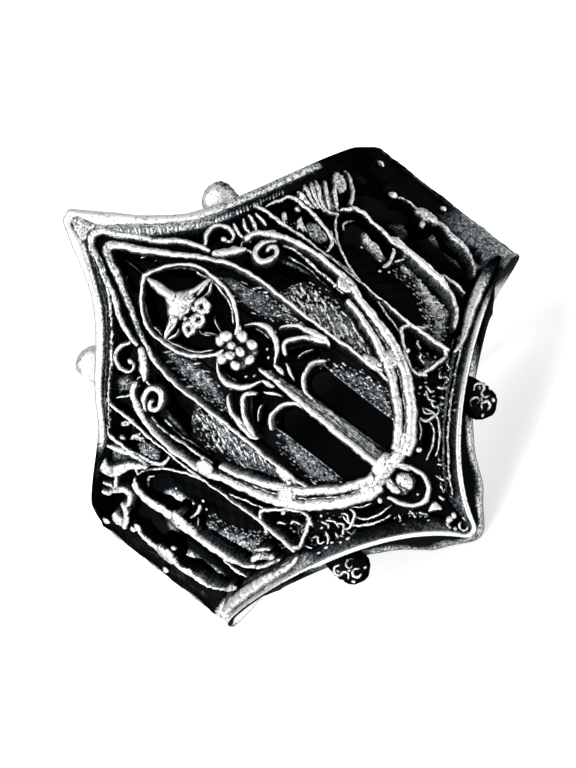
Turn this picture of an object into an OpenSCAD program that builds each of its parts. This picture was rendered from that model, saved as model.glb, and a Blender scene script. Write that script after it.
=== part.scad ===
// Finger ring with a pointed head, cast in one piece with Gothic window tracery in relief.
// The ring is drawn round the Z axis with its face towards -Y, then leaned back onto
// its lower tip and the back edge of its shank, as it lies on a table.

/* [Band] */
// Radius of the finger hole
bore_r = 9.4; // [9:0.1:9.6]
// Radius over the rims at the face and sides
rim_r = 12.5; // [12.3:0.05:12.8]
// Radius of the sunk panels behind the tracery
panel_r = 10.7; // [10.5:0.1:10.9]
// Radius over the mullions and the tracery ribs
rib_r = 11.8; // [11.5:0.1:12]
// Half height of the band at its sides
side_h = 4.9; // [4.6:0.1:5.2]
// Half height of the shank at the back
shank_h = 4.4; // [4:0.1:4.6]
// Thickness of the shank at the back
shank_wall = 2.1; // [1.9:0.05:2.4]
// Width of the rim along each edge
rim_w = 0.9; // [0.7:0.1:1.1]
// Angle round the band, from the middle of the face, at which the panels end
panel_end = 112; // [105:1:120]

/* [Head] */
// Height of each tip above the middle of the band
tip_h = 13.6; // [13:0.1:14]
// Radius of the rounded tips
tip_r = 0.5; // [0.4:0.05:0.6]
// Radius over the inner wall that stands out below the lower rim
liner_r = 10.5; // [10.3:0.1:10.7]

/* [Tracery] */
// Width of the shield frame
shield_w = 0.62; // [0.5:0.02:0.7]
// Width of the mouldings of the pointed arch
ogive_w = 0.42; // [0.34:0.02:0.5]
// Width of the mullions
mullion_w = 0.45; // [0.4:0.05:0.55]
// Angle between the mullions of the side windows
window_step = 19.3; // [18.5:0.1:20]
// Angle of the first upright bar from the middle of the face
bar_angle = 32.5; // [32:0.1:34]
// Radius of the knob on each side mullion
knob_r = 0.5; // [0.4:0.05:0.6]

/* [Windows] */
// Half width of the rose window
rose_w = 2.05; // [1.9:0.05:2.2]
// Half height of the rose window
rose_h = 2.75; // [2.6:0.05:2.9]
// Distance of the pierced lancets' middle from the centre line
lancet_x = 1.22; // [1.2:0.02:1.3]
// Width of a pierced lancet
lancet_w = 1.35; // [1.2:0.05:1.45]

/* [Crocket knobs] */
// Distance of each crocket knob from the centre line
crocket_x = 5.4; // [5.3:0.1:5.7]
// Height of an upper knob's end above the middle of the band
crocket_top = 9.5; // [9.3:0.1:9.8]
// Depth of a lower knob's end below the middle of the band
crocket_foot = 10.1; // [9.8:0.1:10.3]
// Radius of a crocket knob
crocket_r = 0.9; // [0.8:0.02:0.94]

/* [Hidden] */
$fn = 96;
reach = 15;
curve_steps = 10;
back_r = rim_r + 0.15;
back_shift = back_r - bore_r - shank_wall;
shank_back = bore_r + shank_wall;
taper_h = side_h + 1.3;
liner_x = 6.5;
crocket_depth = bore_r + 1;
crocket_stem_r = 0.75 * crocket_r;
knob_sink = knob_r / 4;
bead_sink = 0.08;
lean = atan((tip_h - shank_h) / (bore_r + shank_back));
tip_drop = tip_h * cos(lean) - bore_r * sin(lean);
front_y = -rim_r * cos(lean) - tip_h * sin(lean);
back_y = shank_back * cos(lean) + shank_h * sin(lean);

// Edges of the head's right half, from each tip to the side, as distances from the middle.
// The lower edge is fuller than the upper one.
upper_edge = [[tip_r, tip_h - 0.35], [2.3, tip_h - 4.5], [5.2, side_h + 2.3], [rim_r, side_h]];
lower_edge = [[tip_r, tip_h - 0.35], [2.2, tip_h - 3.4], [6.2, side_h + 2.9], [rim_r, side_h]];
upper_inside = [[0, tip_h - 1.9], [2, tip_h - 4.4 - rim_w],
  [4.8, side_h + 2.3 - rim_w], [rim_r, side_h - rim_w]];
lower_inside = [[0, tip_h - 1.5], [2, tip_h - 3.4 - rim_w],
  [5.8, side_h + 2.9 - rim_w], [rim_r, side_h - rim_w]];
liner_edge = [[tip_r, tip_h - 0.3], [2.4, tip_h - 1.2], [3, tip_h - 3.2], [liner_x, side_h + 3.1]];

// Middle lines of the tracery on the right of the face, in the plane of the face
shield_head = [[3.2, 6.1], [3.9, 5.6], [6.2, 6], [6.3, 3.6]];
shield_side = [[6.3, 3.6], [6.5, -1.4], [5.2, -5.8], [0.9, -8.1]];
ogive_outer = [[0, 11.5], [1.1, 9.4], [2.2, 7.3], [3.2, 6.1]];
ogive_inner = [[0, 10.6], [1.2, 8.6], [3.3, 6.8], [3.45, 4.4]];
arch_inner = [[0.3, -0.9], [0.5, -1.5], [1.9, -1.1], [2.1, -2.4]];
arch_outer = [[0.3, 0.3], [1, 0.2], [2.6, 0.6], [2.9, -1.4]];

// Heights of the windows and ornaments on the centre line
rose_z = 5.6;
rose_floor_r = 10.1;
rose_rim = 0.22;
boss_r = 0.8;
boss_spike = 1.7;
boss_shoulder = 0.4;
boss_foot = 1;
boss_bar_h = 0.4;
boss_bar_drop = 0.25;
rosette_z = 1.95;
rosette_ring = 0.55;
bead_r = 0.32;
cusp_z = 1.5;
cusp_r = 1.7;
column_top = 0.9;
column_foot = -8.2;
column_flare = 2;
column_r = 0.25;
column_foot_r = 0.6;
mullion_foot = -5;
lancet_top = -1.7;
lancet_foot = -7.1;
drop_z = -9.1;
drop_w = 1;
drop_h = 1.45;
drop_shoulder = 0.3;
drop_waist_w = 0.7;
drop_waist = 0.87;
knob_z = -0.5;
bar_h = 6.7;
mullion_rise = 1.1;
mullion_step = 0.5;

function bezier(p, t) =
  pow(1 - t, 3) * p[0] + 3 * t * pow(1 - t, 2) * p[1] + 3 * t * t * (1 - t) * p[2] + pow(t, 3) * p[3];
function curve(p) = [for (i = [0:curve_steps]) bezier(p, i / curve_steps)];
function reversed(list) = [for (i = [len(list) - 1:-1:0]) list[i]];
function flip_x(list) = [for (p = list) [-p[0], p[1]]];
function flip_z(list) = [for (p = list) [p[0], -p[1]]];
function rounded_tip() = [for (a = [90:-30:30]) [tip_r * cos(a), tip_h - tip_r + tip_r * sin(a)]];
function outer_edge(edge) = concat(rounded_tip(), curve(edge), [[reach, side_h]]);
function inner_edge(edge) = concat(curve(edge), [[reach, side_h - rim_w]]);
function oval(w, h) = [for (i = [0:23]) [w * cos(i * 15), h * sin(i * 15)]];
function depth_at(r, x) = sqrt(r * r - x * x);
function mullion_h(i) = side_h + mullion_rise - mullion_step * i;
// Sideways direction of a path at its point i
function side_of(path, i) =
  let (d = path[min(i + 1, len(path) - 1)] - path[max(i - 1, 0)]) [d[1], -d[0]] / norm(d);
function shifted(path, d) = [for (i = [0:len(path) - 1]) path[i] + d * side_of(path, i)];

// Closed outline from the upper and lower edges of its right half
module outline(upper, lower) {
  right = concat(upper, reversed(flip_z(lower)));
  inner = [for (p = right) if (p[0] > 0.001) p];
  polygon(concat(right, reversed(flip_x(inner))));
}

// Strip of width w along a path
module strip(path, w) {
  polygon(concat(shifted(path, w / 2), reversed(shifted(path, -w / 2))));
}

// Drawing in the plane of the face, pushed out towards the front
module to_front() {
  rotate([90, 0, 0]) linear_extrude(reach) children();
}

// Drawing in the plane of the face, raised to the radius r
module raised(r) {
  intersection() {
    to_front() children();
    cylinder(h = 2 * reach, r = r, center = true);
  }
}

module both_sides() {
  children();
  mirror([1, 0, 0]) children();
}

// Taper of the band behind its widest place, seen from the side and moved inwards by d
module taper(d) {
  rotate([90, 0, 90]) translate([0, 0, -reach]) linear_extrude(2 * reach)
    polygon([
      [-reach, reach], [0, reach], [0, taper_h - d], [shank_back, shank_h - d], [reach, shank_h - d],
      [reach, d - shank_h], [shank_back, d - shank_h], [0, d - taper_h], [0, -reach], [-reach, -reach]
    ]);
}

// Block as high as the band all round, from the edges of its face
module band_block(upper, lower, d) {
  intersection() {
    rotate([90, 0, 0]) translate([0, 0, -reach]) linear_extrude(2 * reach) outline(upper, lower);
    taper(d);
  }
}

// Outer surface: round at the face and sides, drawn in at the back
module outer_form() {
  intersection() {
    cylinder(h = 2 * reach, r = rim_r, center = true);
    translate([0, -back_shift, 0]) cylinder(h = 2 * reach, r = back_r, center = true);
  }
}

// Space behind the sides, where the shank is plain
module shank_space() {
  translate([-reach, -rim_r * cos(panel_end), -reach]) cube([2 * reach, reach, 2 * reach]);
}

// Sunk panels between the two rims
module panels() {
  difference() {
    band_block(inner_edge(upper_inside), inner_edge(lower_inside), rim_w);
    cylinder(h = 2 * reach, r = panel_r, center = true);
    shank_space();
  }
}

// Band with its two rims
module rimmed_band() {
  difference() {
    intersection() {
      outer_form();
      band_block(outer_edge(upper_edge), outer_edge(lower_edge), 0);
    }
    panels();
  }
}

// Edge of the inner wall that shows below the lower rim
module liner() {
  lower = flip_z(curve(liner_edge));
  raised(liner_r)
    polygon(concat(lower, [[liner_x, 0], [-liner_x, 0]], reversed(flip_x(lower))));
}

// Pointed arch at the top and shield frame below it
module shield_frame() {
  both_sides() {
    raised(rim_r - 0.1) strip(curve(shield_head), shield_w);
    raised(rim_r - 0.1) strip(curve(shield_side), shield_w);
    raised(rib_r) strip(curve(ogive_outer), ogive_w);
    raised(rib_r) strip(curve(ogive_inner), ogive_w);
  }
}

// Upright bars of the face: column, mullions and the bars beside the shield
module uprights() {
  raised(rim_r - 0.2)
    polygon([
      [-column_r, column_top], [column_r, column_top], [column_r, column_foot + column_flare],
      [column_foot_r, column_foot], [-column_foot_r, column_foot],
      [-column_r, column_foot + column_flare]
    ]);
  both_sides() raised(rib_r)
    translate([ogive_inner[3][0] - ogive_w / 2, mullion_foot])
      square([ogive_w, ogive_inner[3][1] - mullion_foot]);
  both_sides() rotate([0, 0, bar_angle])
    translate([-mullion_w / 2, -rib_r, -bar_h]) cube([mullion_w, rib_r - bore_r, 2 * bar_h]);
}

// Arches over the pierced lancets
module lancet_arches() {
  both_sides() {
    raised(rib_r) strip(curve(arch_inner), ogive_w);
    raised(rib_r) strip(curve(arch_outer), ogive_w);
  }
}

// Side windows: mullions round the band, each with a knob
module side_windows() {
  both_sides() for (i = [1:3])
    rotate([0, 0, bar_angle + i * window_step]) {
      translate([-mullion_w / 2, -rib_r, -mullion_h(i)])
        cube([mullion_w, rib_r - bore_r, 2 * mullion_h(i)]);
      translate([0, knob_sink - rib_r, knob_z]) sphere(knob_r, $fn = 32);
    }
}

// Rose window: a sunk oval with a thin rim round a spiked boss
module rose_opening() {
  difference() {
    to_front() translate([0, rose_z]) polygon(oval(rose_w, rose_h));
    cylinder(h = 2 * reach, r = rose_floor_r, center = true);
  }
}

module rose() {
  difference() {
    raised(rib_r) translate([0, rose_z]) polygon(oval(rose_w + rose_rim, rose_h + rose_rim));
    to_front() translate([0, rose_z]) polygon(oval(rose_w, rose_h));
  }
  raised(rib_r) translate([0, rose_z]) {
    polygon([
      [-boss_r, boss_shoulder], [0, boss_spike], [boss_r, boss_shoulder],
      [boss_r, -boss_foot], [-boss_r, -boss_foot]
    ]);
    translate([-rose_w - rose_rim / 2, -boss_bar_drop])
      square([2 * rose_w + rose_rim, boss_bar_h]);
  }
}

// Rosette of beads in a round frame below the rose
module rosette() {
  raised(rib_r) difference() {
    translate([0, cusp_z]) polygon(oval(cusp_r, cusp_r));
    translate([0, cusp_z]) polygon(oval(cusp_r - ogive_w, cusp_r - ogive_w));
  }
  raised(rib_r) translate([0, rosette_z]) polygon(oval(rosette_ring, rosette_ring));
  for (a = [0:60:300])
    translate([rosette_ring * cos(a), bead_sink - rib_r, rosette_z + rosette_ring * sin(a)])
      sphere(bead_r, $fn = 24);
}

// Pointed drop at the foot of the shield
module drop() {
  raised(rim_r - 0.1) translate([0, drop_z])
    polygon([
      [0, drop_h], [drop_w, drop_shoulder], [drop_waist_w, -drop_waist],
      [0, -drop_h], [-drop_waist_w, -drop_waist], [-drop_w, drop_shoulder]
    ]);
}

// Pair of openings cut through the wall beside the column
module lancets() {
  both_sides() to_front() translate([lancet_x, 0]) {
    translate([-lancet_w / 2, lancet_foot])
      square([lancet_w, lancet_top - lancet_foot - lancet_w / 2]);
    translate([0, lancet_top - lancet_w / 2]) circle(lancet_w / 2, $fn = 48);
  }
}

// Knob that stands out past the edge of the wall, with its end at the height top
module crocket_knob(top) {
  translate([crocket_x, -depth_at(crocket_depth, crocket_x), 0]) {
    translate([0, 0, side_h]) cylinder(h = top - crocket_r - side_h, r = crocket_stem_r);
    translate([0, 0, top - crocket_r]) sphere(crocket_r, $fn = 48);
  }
}

module crocket_knobs() {
  both_sides() {
    crocket_knob(crocket_top);
    mirror([0, 0, 1]) crocket_knob(crocket_foot);
  }
}

module ring() {
  color("silver")
  translate([0, -(front_y + back_y) / 2, tip_drop])
  rotate([-lean, 0, 0])
  difference() {
    union() {
      difference() {
        union() {
          rimmed_band();
          liner();
        }
        rose_opening();
      }
      shield_frame();
      uprights();
      lancet_arches();
      side_windows();
      rose();
      rosette();
      drop();
      crocket_knobs();
    }
    lancets();
    cylinder(h = 2 * reach + 2, r = bore_r, center = true);
  }
}

ring();
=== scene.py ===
"""Finger ring with a pointed head and Gothic window tracery, in blackened cast silver."""

import math

import bmesh
import bpy
import numpy as np
from mathutils import Matrix, Vector


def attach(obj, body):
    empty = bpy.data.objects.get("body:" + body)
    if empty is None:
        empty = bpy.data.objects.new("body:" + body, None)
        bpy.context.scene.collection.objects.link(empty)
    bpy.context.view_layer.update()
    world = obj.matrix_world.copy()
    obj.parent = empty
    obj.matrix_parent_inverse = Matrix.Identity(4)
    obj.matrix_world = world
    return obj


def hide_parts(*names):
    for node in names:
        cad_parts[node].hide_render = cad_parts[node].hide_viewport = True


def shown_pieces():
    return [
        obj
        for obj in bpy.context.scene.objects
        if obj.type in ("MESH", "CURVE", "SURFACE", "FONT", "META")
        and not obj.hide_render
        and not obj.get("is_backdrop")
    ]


bl_info = {
    "name": "Tracery Ring",
    "version": (1, 0, 0),
    "blender": (4, 5, 0),
    "location": "View3D > Sidebar > Ring",
    "description": "Models a pointed finger ring with Gothic window tracery",
    "category": "Add Mesh",
}

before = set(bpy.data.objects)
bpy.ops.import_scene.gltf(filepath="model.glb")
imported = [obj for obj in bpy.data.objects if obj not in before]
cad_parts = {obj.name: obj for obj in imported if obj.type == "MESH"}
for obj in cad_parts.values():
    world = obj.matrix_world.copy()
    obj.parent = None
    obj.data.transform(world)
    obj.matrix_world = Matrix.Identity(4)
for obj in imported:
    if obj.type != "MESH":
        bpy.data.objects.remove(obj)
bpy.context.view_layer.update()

# Sizes in millimetres, in the ring's own frame: x to the right, y to the back and z along
# the finger hole, with the face towards -y
BORE_R = 9.4  # finger hole
RIM_R = 12.5  # outside of the rims
PANEL_R = 10.7  # taken for the height of what lies past the rims
SIDE_H = 4.9  # half height of the head at its sides
SHANK_H = 4.4  # half height of the shank at the back
SHANK_BACK = 11.5  # outside of the shank at the back
SHANK_ANGLES = (90, 105, 120, 140, 160, 180)
SHANK_HALF = (4.9, 4.6, 4.35, 4.25, 4.3, SHANK_H)  # half height at those angles
TIP_H = 13.6  # half height of the head at its tips
TIP_R = 0.5  # rounding of the tips
BACK_R = 12.65  # the back is round about a point that lies towards the face
BACK_SHIFT = 1.15
PANEL_END = math.radians(112)  # where the windows end and the plain shank starts

# Pose of the ring on the floor: it lies on its lower tip and the back edge of its shank
LEAN = math.atan((TIP_H - SHANK_H) / (BORE_R + SHANK_BACK))
LEAN_COS = math.cos(LEAN)
LEAN_SIN = math.sin(LEAN)
FRONT_Y = -RIM_R * LEAN_COS - TIP_H * LEAN_SIN
BACK_Y = SHANK_BACK * LEAN_COS + SHANK_H * LEAN_SIN
SHIFT_Y = -(FRONT_Y + BACK_Y) / 2
LIFT = TIP_H * LEAN_COS - BORE_R * LEAN_SIN

# Edges of the head's right half as Bezier curves, from the tip to the side
UPPER_EDGE = ((TIP_R, 13.25), (2.3, 9.1), (5.2, 7.2), (RIM_R, SIDE_H))
LOWER_EDGE = ((TIP_R, 13.25), (2.2, 10.2), (6.2, 7.8), (RIM_R, SIDE_H))
LINER_EDGE = (
    (0, 13.58), (0.5, 13.4), (1.4, 12.6), (2.1, 12.05), (2.6, 11.4), (3.2, 10.6), (4, 9.8), (5.3, 8.6),
    (6.5, 7.8), (8, 6.8), (9.4, 5.8), (10.6, 5.1),
)

UNROLL_R = 12.0  # radius at which angles round the band are turned to lengths


def to_world(points):
    """Ring frame in millimetres to the model's frame in metres."""
    p = np.asarray(points, float)
    y = p[:, 1] * LEAN_COS + p[:, 2] * LEAN_SIN + SHIFT_Y
    z = p[:, 2] * LEAN_COS - p[:, 1] * LEAN_SIN + LIFT
    return np.column_stack([p[:, 0], y, z]) / 1000


def to_ring(points):
    """The model's frame in metres back to the ring frame in millimetres."""
    p = np.asarray(points, float) * 1000
    y, z = p[:, 1] - SHIFT_Y, p[:, 2] - LIFT
    return np.column_stack([p[:, 0], y * LEAN_COS - z * LEAN_SIN, y * LEAN_SIN + z * LEAN_COS])


def turned(direction):
    """A direction in the ring frame as one in the model's frame."""
    x, y, z = direction
    return Vector((x, y * LEAN_COS + z * LEAN_SIN, z * LEAN_COS - y * LEAN_SIN))


def bezier(p, count=40):
    """Points on a cubic curve with four control points."""
    t = np.linspace(0, 1, count)[:, None]
    a, b, c, d = np.asarray(p, float)
    return (1 - t) ** 3 * a + 3 * t * (1 - t) ** 2 * b + 3 * t * t * (1 - t) * c + t**3 * d


def edge_height(curve, x):
    """Height of one edge of the head over the distance x from the centre plane."""
    c = bezier(curve)
    tip = np.linspace(0, math.radians(60), 8)
    px = np.concatenate([TIP_R * np.sin(tip), c[1:, 0]])
    pz = np.concatenate([TIP_H - TIP_R + TIP_R * np.cos(tip), c[1:, 1]])
    return np.interp(np.abs(x), px, pz)


def rim_height(curve, theta):
    """Height of an edge of the rims: the head's outline at the face, the shank's behind it."""
    front = edge_height(curve, RIM_R * np.sin(theta))
    behind = np.interp(np.degrees(np.abs(theta)), SHANK_ANGLES, SHANK_HALF)
    return np.where(np.cos(theta) < 0, np.minimum(front, behind), front)


def edge_lean(curve, theta):
    """Cosine of an edge's slope on the unrolled band."""
    d = 0.01
    rise = rim_height(curve, theta + d) - rim_height(curve, theta - d)
    return 1 / np.sqrt(1 + (rise / (2 * d * UNROLL_R)) ** 2)


def outer_radius(theta):
    """Radius of the plain outside: round at the face and sides, drawn in at the back."""
    c = np.cos(theta)
    back = BACK_SHIFT * c + np.sqrt(BACK_R**2 - BACK_SHIFT**2 * (1 - c * c))
    return np.minimum(RIM_R, back)


def step(low, high, value):
    """Smooth step from 0 at low to 1 at high."""
    t = np.clip((value - low) / (high - low), 0, 1)
    return t * t * (3 - 2 * t)


def span(value, rise, fall):
    """Smooth step up between the two values of rise and down between those of fall."""
    return step(*rise, value) * step(*fall, value)


def smooth(points, spacing=0.1, closed=False):
    """Evenly spaced points on a smooth curve through the given ones."""
    p = np.asarray(points, float)
    if closed:
        p = np.vstack([p[-1], p, p[0], p[1]])
    else:
        p = np.vstack([2 * p[0] - p[1], p, 2 * p[-1] - p[-2]])
    t = np.linspace(0, 1, 16, endpoint=False)[:, None]
    parts = []
    for a, b, c, d in zip(p[:-3], p[1:-2], p[2:-1], p[3:]):
        parts.append(
            0.5 * (2 * b + (c - a) * t + (2 * a - 5 * b + 4 * c - d) * t**2 + (3 * b - a - 3 * c + d) * t**3)
        )
    parts.append(p[-2][None])
    curve = np.vstack(parts)
    length = np.concatenate([[0], np.cumsum(np.linalg.norm(np.diff(curve, axis=0), axis=1))])
    count = max(int(round(length[-1] / spacing)), 3)
    at = np.linspace(0, length[-1], count + 1)
    return np.column_stack([np.interp(at, length, curve[:, i]) for i in range(curve.shape[1])])


def beside(path, distance):
    """A flat path moved sideways, to its right."""
    p = np.asarray(path, float)
    d = np.gradient(p, axis=0)
    d /= np.linalg.norm(d, axis=1)[:, None]
    return p + distance * np.column_stack([d[:, 1], -d[:, 0]])


def on_face(path, radius):
    """Points (x, z) as seen from the front, laid on a cylinder round the finger hole."""
    p = np.asarray(path, float)
    r = np.broadcast_to(radius, len(p))
    return np.column_stack([p[:, 0], -np.sqrt(r**2 - p[:, 0] ** 2), p[:, 1]])


def round_band(theta, radius, z):
    """Points from angles round the band, radii and heights."""
    return np.column_stack([radius * np.sin(theta), -radius * np.cos(theta), z])


def on_band(path, radius):
    """Points (degrees round the band from the face, z) on a cylinder."""
    p = np.asarray(path, float)
    return round_band(np.radians(p[:, 0]), radius, p[:, 1])


def unrolled(path):
    """Points (x, z) of the face in unrolled lengths."""
    p = np.asarray(path, float)
    return np.column_stack([UNROLL_R * np.arcsin(p[:, 0] / UNROLL_R), p[:, 1]])


def unrolled_band(path):
    """Points (degrees round the band, z) in unrolled lengths."""
    p = np.asarray(path, float)
    return np.column_stack([UNROLL_R * np.radians(p[:, 0]), p[:, 1]])


def flat_outline(outline, in_degrees, spacing=0.25):
    """A smooth closed outline on the unrolled band, given round the band or from the front."""
    flat = unrolled_band(outline) if in_degrees else unrolled(outline)
    return smooth(flat, spacing, closed=True)


def inward(outline, s, z):
    """Distance from each point to a closed outline: positive inside it and negative outside."""
    out = np.full(s.shape, -9.0)
    lo, hi = outline.min(axis=0) - 0.6, outline.max(axis=0) + 0.6
    near = (s > lo[0]) & (s < hi[0]) & (z > lo[1]) & (z < hi[1])
    if not near.any():
        return out
    ps, pz = s[near], z[near]
    best = np.full(ps.shape, 81.0)
    inside = np.zeros(ps.shape, bool)
    for (ax, az), (bx, bz) in zip(outline, np.roll(outline, -1, axis=0)):
        dx, dz = bx - ax, bz - az
        t = np.clip(((ps - ax) * dx + (pz - az) * dz) / max(dx * dx + dz * dz, 1e-12), 0, 1)
        best = np.minimum(best, (ps - ax - t * dx) ** 2 + (pz - az - t * dz) ** 2)
        if az != bz:
            crossing = (az > pz) != (bz > pz)
            inside ^= crossing & (ps < (bx - ax) * (pz - az) / (bz - az) + ax)
    out[near] = np.where(inside, np.sqrt(best), -np.sqrt(best))
    return out


# Hollows of the relief, right half, from the front or round the band: outline, whether it is
# given in degrees round the band, radius of its floor and width of its sloping walls
HOLLOWS = {
    "rose": (
        ((0, 8.3), (1.2, 7.55), (2.0, 6.3), (2.05, 5), (1.5, 3.6), (0.5, 2.75), (0, 2.65)),
        False, 10.15, 0.25,
    ),
    "gable": (((0, 10.5), (0.5, 9.7), (1.1, 8.5), (0.8, 8.2), (0.4, 8.55), (0, 8.75)), False, 10.5, 0.2),
    "cusped_round": (
        ((0, 2.9), (0.9, 2.7), (1.6, 2.0), (1.6, 1.1), (1.2, 0.5), (0.5, 0.15), (0, 0.1)),
        False, 10.3, 0.25,
    ),
    "lancet_head": (
        ((0.35, -0.2), (0.9, 0.35), (1.7, 0.05), (2.5, -0.6), (2.85, -1.4), (2.2, -1.9), (2.0, -7),
         (0.75, -7.3), (0.45, -3)),
        False, 10.5, 0.3,
    ),
    "upper_field": (
        ((0.9, 11.6), (1.4, 10.7), (2.2, 9.6), (3.4, 8.3), (5.0, 7.4), (6.3, 6.6), (6.3, 6.1), (4.6, 6.5),
         (3.4, 6.9), (2.7, 8.3), (1.9, 9.6), (1.2, 10.9)),
        False, 10.9, 0.25,
    ),
    "shield_head": (
        ((3.9, 4.9), (4.3, 4.6), (5.2, 3.3), (5.5, 1.4), (4.7, 1.2), (3.75, 1.6), (3.7, 3.6)),
        False, 10.4, 0.4,
    ),
    "shield_niche": (
        ((3.8, 1.8), (5.5, 1.8), (5.45, 0), (5.2, -1.6), (4.6, -3.2), (3.8, -4.6)),
        False, 11.25, 0.3,
    ),
    "shield_slit": (
        ((5.9, 3.6), (6.02, 1.8), (5.95, 0.6), (5.7, 0.6), (5.75, 2.0), (5.7, 3.4)),
        False, 11.2, 0.1,
    ),
    "ogive_field": (
        ((1.9, 5.3), (3.2, 5.2), (3.3, 1), (3.3, -5.3), (2.2, -6.5), (2.15, -2), (2.9, -0.5), (1.8, 0.8)),
        False, 11.15, 0.25,
    ),
    "roundel": (
        ((34.2, 4.2), (35.5, 5.2), (38.5, 5.4), (40.6, 4.9), (40.4, 3.7), (38.5, 2.4), (35.5, 2.2),
         (33.8, 2.9)),
        True, 10.9, 0.25,
    ),
    "niche_1": (
        ((49.7, 1.2), (47.6, 2.2), (44.5, 2.5), (39.8, 1.9), (36.2, 0.6), (34.2, -1), (34.0, -6.1),
         (38.5, -5.7), (44.5, -5.0), (49.3, -3.6)),
        True, 10.85, 0.9,
    ),
    "niche_2": (
        ((51.8, 1.4), (53.5, 2.5), (59, 3.0), (64.5, 2.3), (67.8, 1.0), (68.0, -2.5), (65.5, -3.8),
         (60, -4.4), (53.6, -4.4), (51.0, -3.6)),
        True, 10.85, 0.9,
    ),
    "niche_3": (
        ((70.2, 1.2), (72.5, 2.6), (76.0, 2.8), (78.6, 1.6), (79.0, -3.2), (75.5, -4.0), (71.0, -3.6)),
        True, 10.6, 0.4,
    ),
    "niche_4": (
        ((94.0, 1.6), (96.5, 2.7), (100, 3.0), (104, 2.6), (106.5, 1.5), (106.5, -2.7), (103, -3.4),
         (96, -3.4)),
        True, 10.9, 0.4,
    ),
    "corner_window": (
        ((57.5, 4.6), (64.5, 4.5), (69.0, 4.1), (70.5, 3.3), (66, 3.05), (62, 3.25), (58, 3.5)),
        True, 11.2, 0.15,
    ),
    "foot_window": (
        ((28.4, -4.3), (30, -4.1), (32.1, -4.4), (32.2, -6.0), (29, -6.1), (24.4, -5.8), (26.2, -4.8)),
        True, 10.8, 0.25,
    ),
    "almond": (
        ((8.8, -8.6), (12.6, -8.2), (14.8, -7.7), (15.6, -8.3), (13.6, -8.95), (9.6, -9.3)),
        True, 10.8, 0.2,
    ),
}

GROUND_R = 11.45
PIER_R = 12.42  # broad plain pier on each side of the head
PIER_EDGE = (77, 83)  # degrees round the band between which the ground rises to the pier
BEAD_WIDTHS = {"upper": 0.52, "lower": 0.26}  # beads at the edges of the rims
GROOVE_END = 0.86  # distance from the edge
GROOVE_DEPTH = 0.42
SLOPE_DEPTH = 0.5  # where the slope inside the groove starts
SLOPE = 2.2
CORNER_RIGHT = 0.6  # the upper rim rounds over at the sides, more at the left
CORNER_LEFT = 1.0
CORNER_START = (62, 82)  # degrees round the band
CORNER_END = (100, 114)


def rims(theta, z, outside, upper, lower):
    """Radius of both rims: a round bead at the edge, a groove and a slope down to the ground."""
    top = np.zeros(z.shape)
    for name, gap, curve in (("upper", upper, UPPER_EDGE), ("lower", lower, LOWER_EDGE)):
        d = np.clip(gap, 0, None) * edge_lean(curve, theta)
        half = BEAD_WIDTHS[name] / 2
        bead = outside - half + np.sqrt(np.clip(half**2 - (d - half) ** 2, 0, None))
        groove = np.where(d < 2 * half, bead, outside - GROOVE_DEPTH)
        slope = outside - SLOPE_DEPTH - SLOPE * np.clip(d - GROOVE_END, 0, None)
        top = np.maximum(top, np.where(d < GROOVE_END, groove, slope))
    return top


def relief(theta, z):
    """Radius of the cast surface at each angle and height of the band."""
    s = UNROLL_R * np.abs(theta)
    side = np.degrees(np.abs(theta))
    outside = outer_radius(theta)
    bed = GROUND_R + (PIER_R - GROUND_R) * step(*PIER_EDGE, side)
    for outline, in_degrees, floor, wall in HOLLOWS.values():
        d = inward(flat_outline(outline, in_degrees), s, z)
        bed -= (bed - floor) * np.sqrt(step(0, wall, d))
    # The cast ground is a little uneven
    coarse = 0.05 * np.sin(s * 2.1) * np.sin(z * 2.3 + 1)
    fine = 0.025 * np.sin(s * 6.3 + z * 2.7) * np.sin(z * 5.9 - s)
    bed += coarse + fine
    upper = rim_height(UPPER_EDGE, theta) - z
    lower = rim_height(LOWER_EDGE, theta) + z
    bed = np.maximum(bed, rims(theta, z, outside, upper, lower))
    corner = np.where(theta > 0, CORNER_RIGHT, CORNER_LEFT)
    over = corner * step(*CORNER_START, side) * (1 - step(*CORNER_END, side)) + 1e-6
    inside = np.clip(1 - np.clip(upper, 0, None) / over, 0, 1)
    bed = np.minimum(bed, outside - over * (1 - np.sqrt(1 - inside**2)))
    # The shank is plain behind the last window
    plain = step(PANEL_END - 0.06, PANEL_END, np.abs(theta))
    return np.minimum(bed + (outside - 0.05 - bed) * plain, outside)


def spaced_angles():
    """Angles of the columns round the band: close together at the face, wider at the back."""
    face = np.radians(np.arange(0, 64, 0.3))
    side = np.radians(np.arange(64, 114, 0.45))
    back = np.radians(np.linspace(114, 180, 34))[:-1]
    half = np.concatenate([face, side, back])
    return np.concatenate([half, [math.pi], 2 * math.pi - half[:0:-1]])


def liner_height(theta, radius):
    """Depth of the inner wall's lower edge: it shows below the rim at the face."""
    c = smooth(LINER_EDGE, 0.2)
    own = np.interp(np.abs(radius * np.sin(theta)), c[:, 0], c[:, 1])
    rim = rim_height(LOWER_EDGE, theta)
    share = step(math.radians(78), math.radians(92), np.abs(theta))
    return own + (rim - own) * share


BAND_ROWS = 360  # points over the height of the outside
RIM_FOOT = 0.3  # depth of the rim's hollowed underside
# Cove over the inner wall's lower edge: distance from the finger hole, and share of the way up
# to the rim's underside
COVE = ((0.28, 0.0), (0.62, -0.02), (0.9, 0.04), (1.02, 0.16), (1.08, 0.4), (1.12, 0.8), (1.2, 1.0))
COVE_END = COVE[-1][0]


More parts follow.
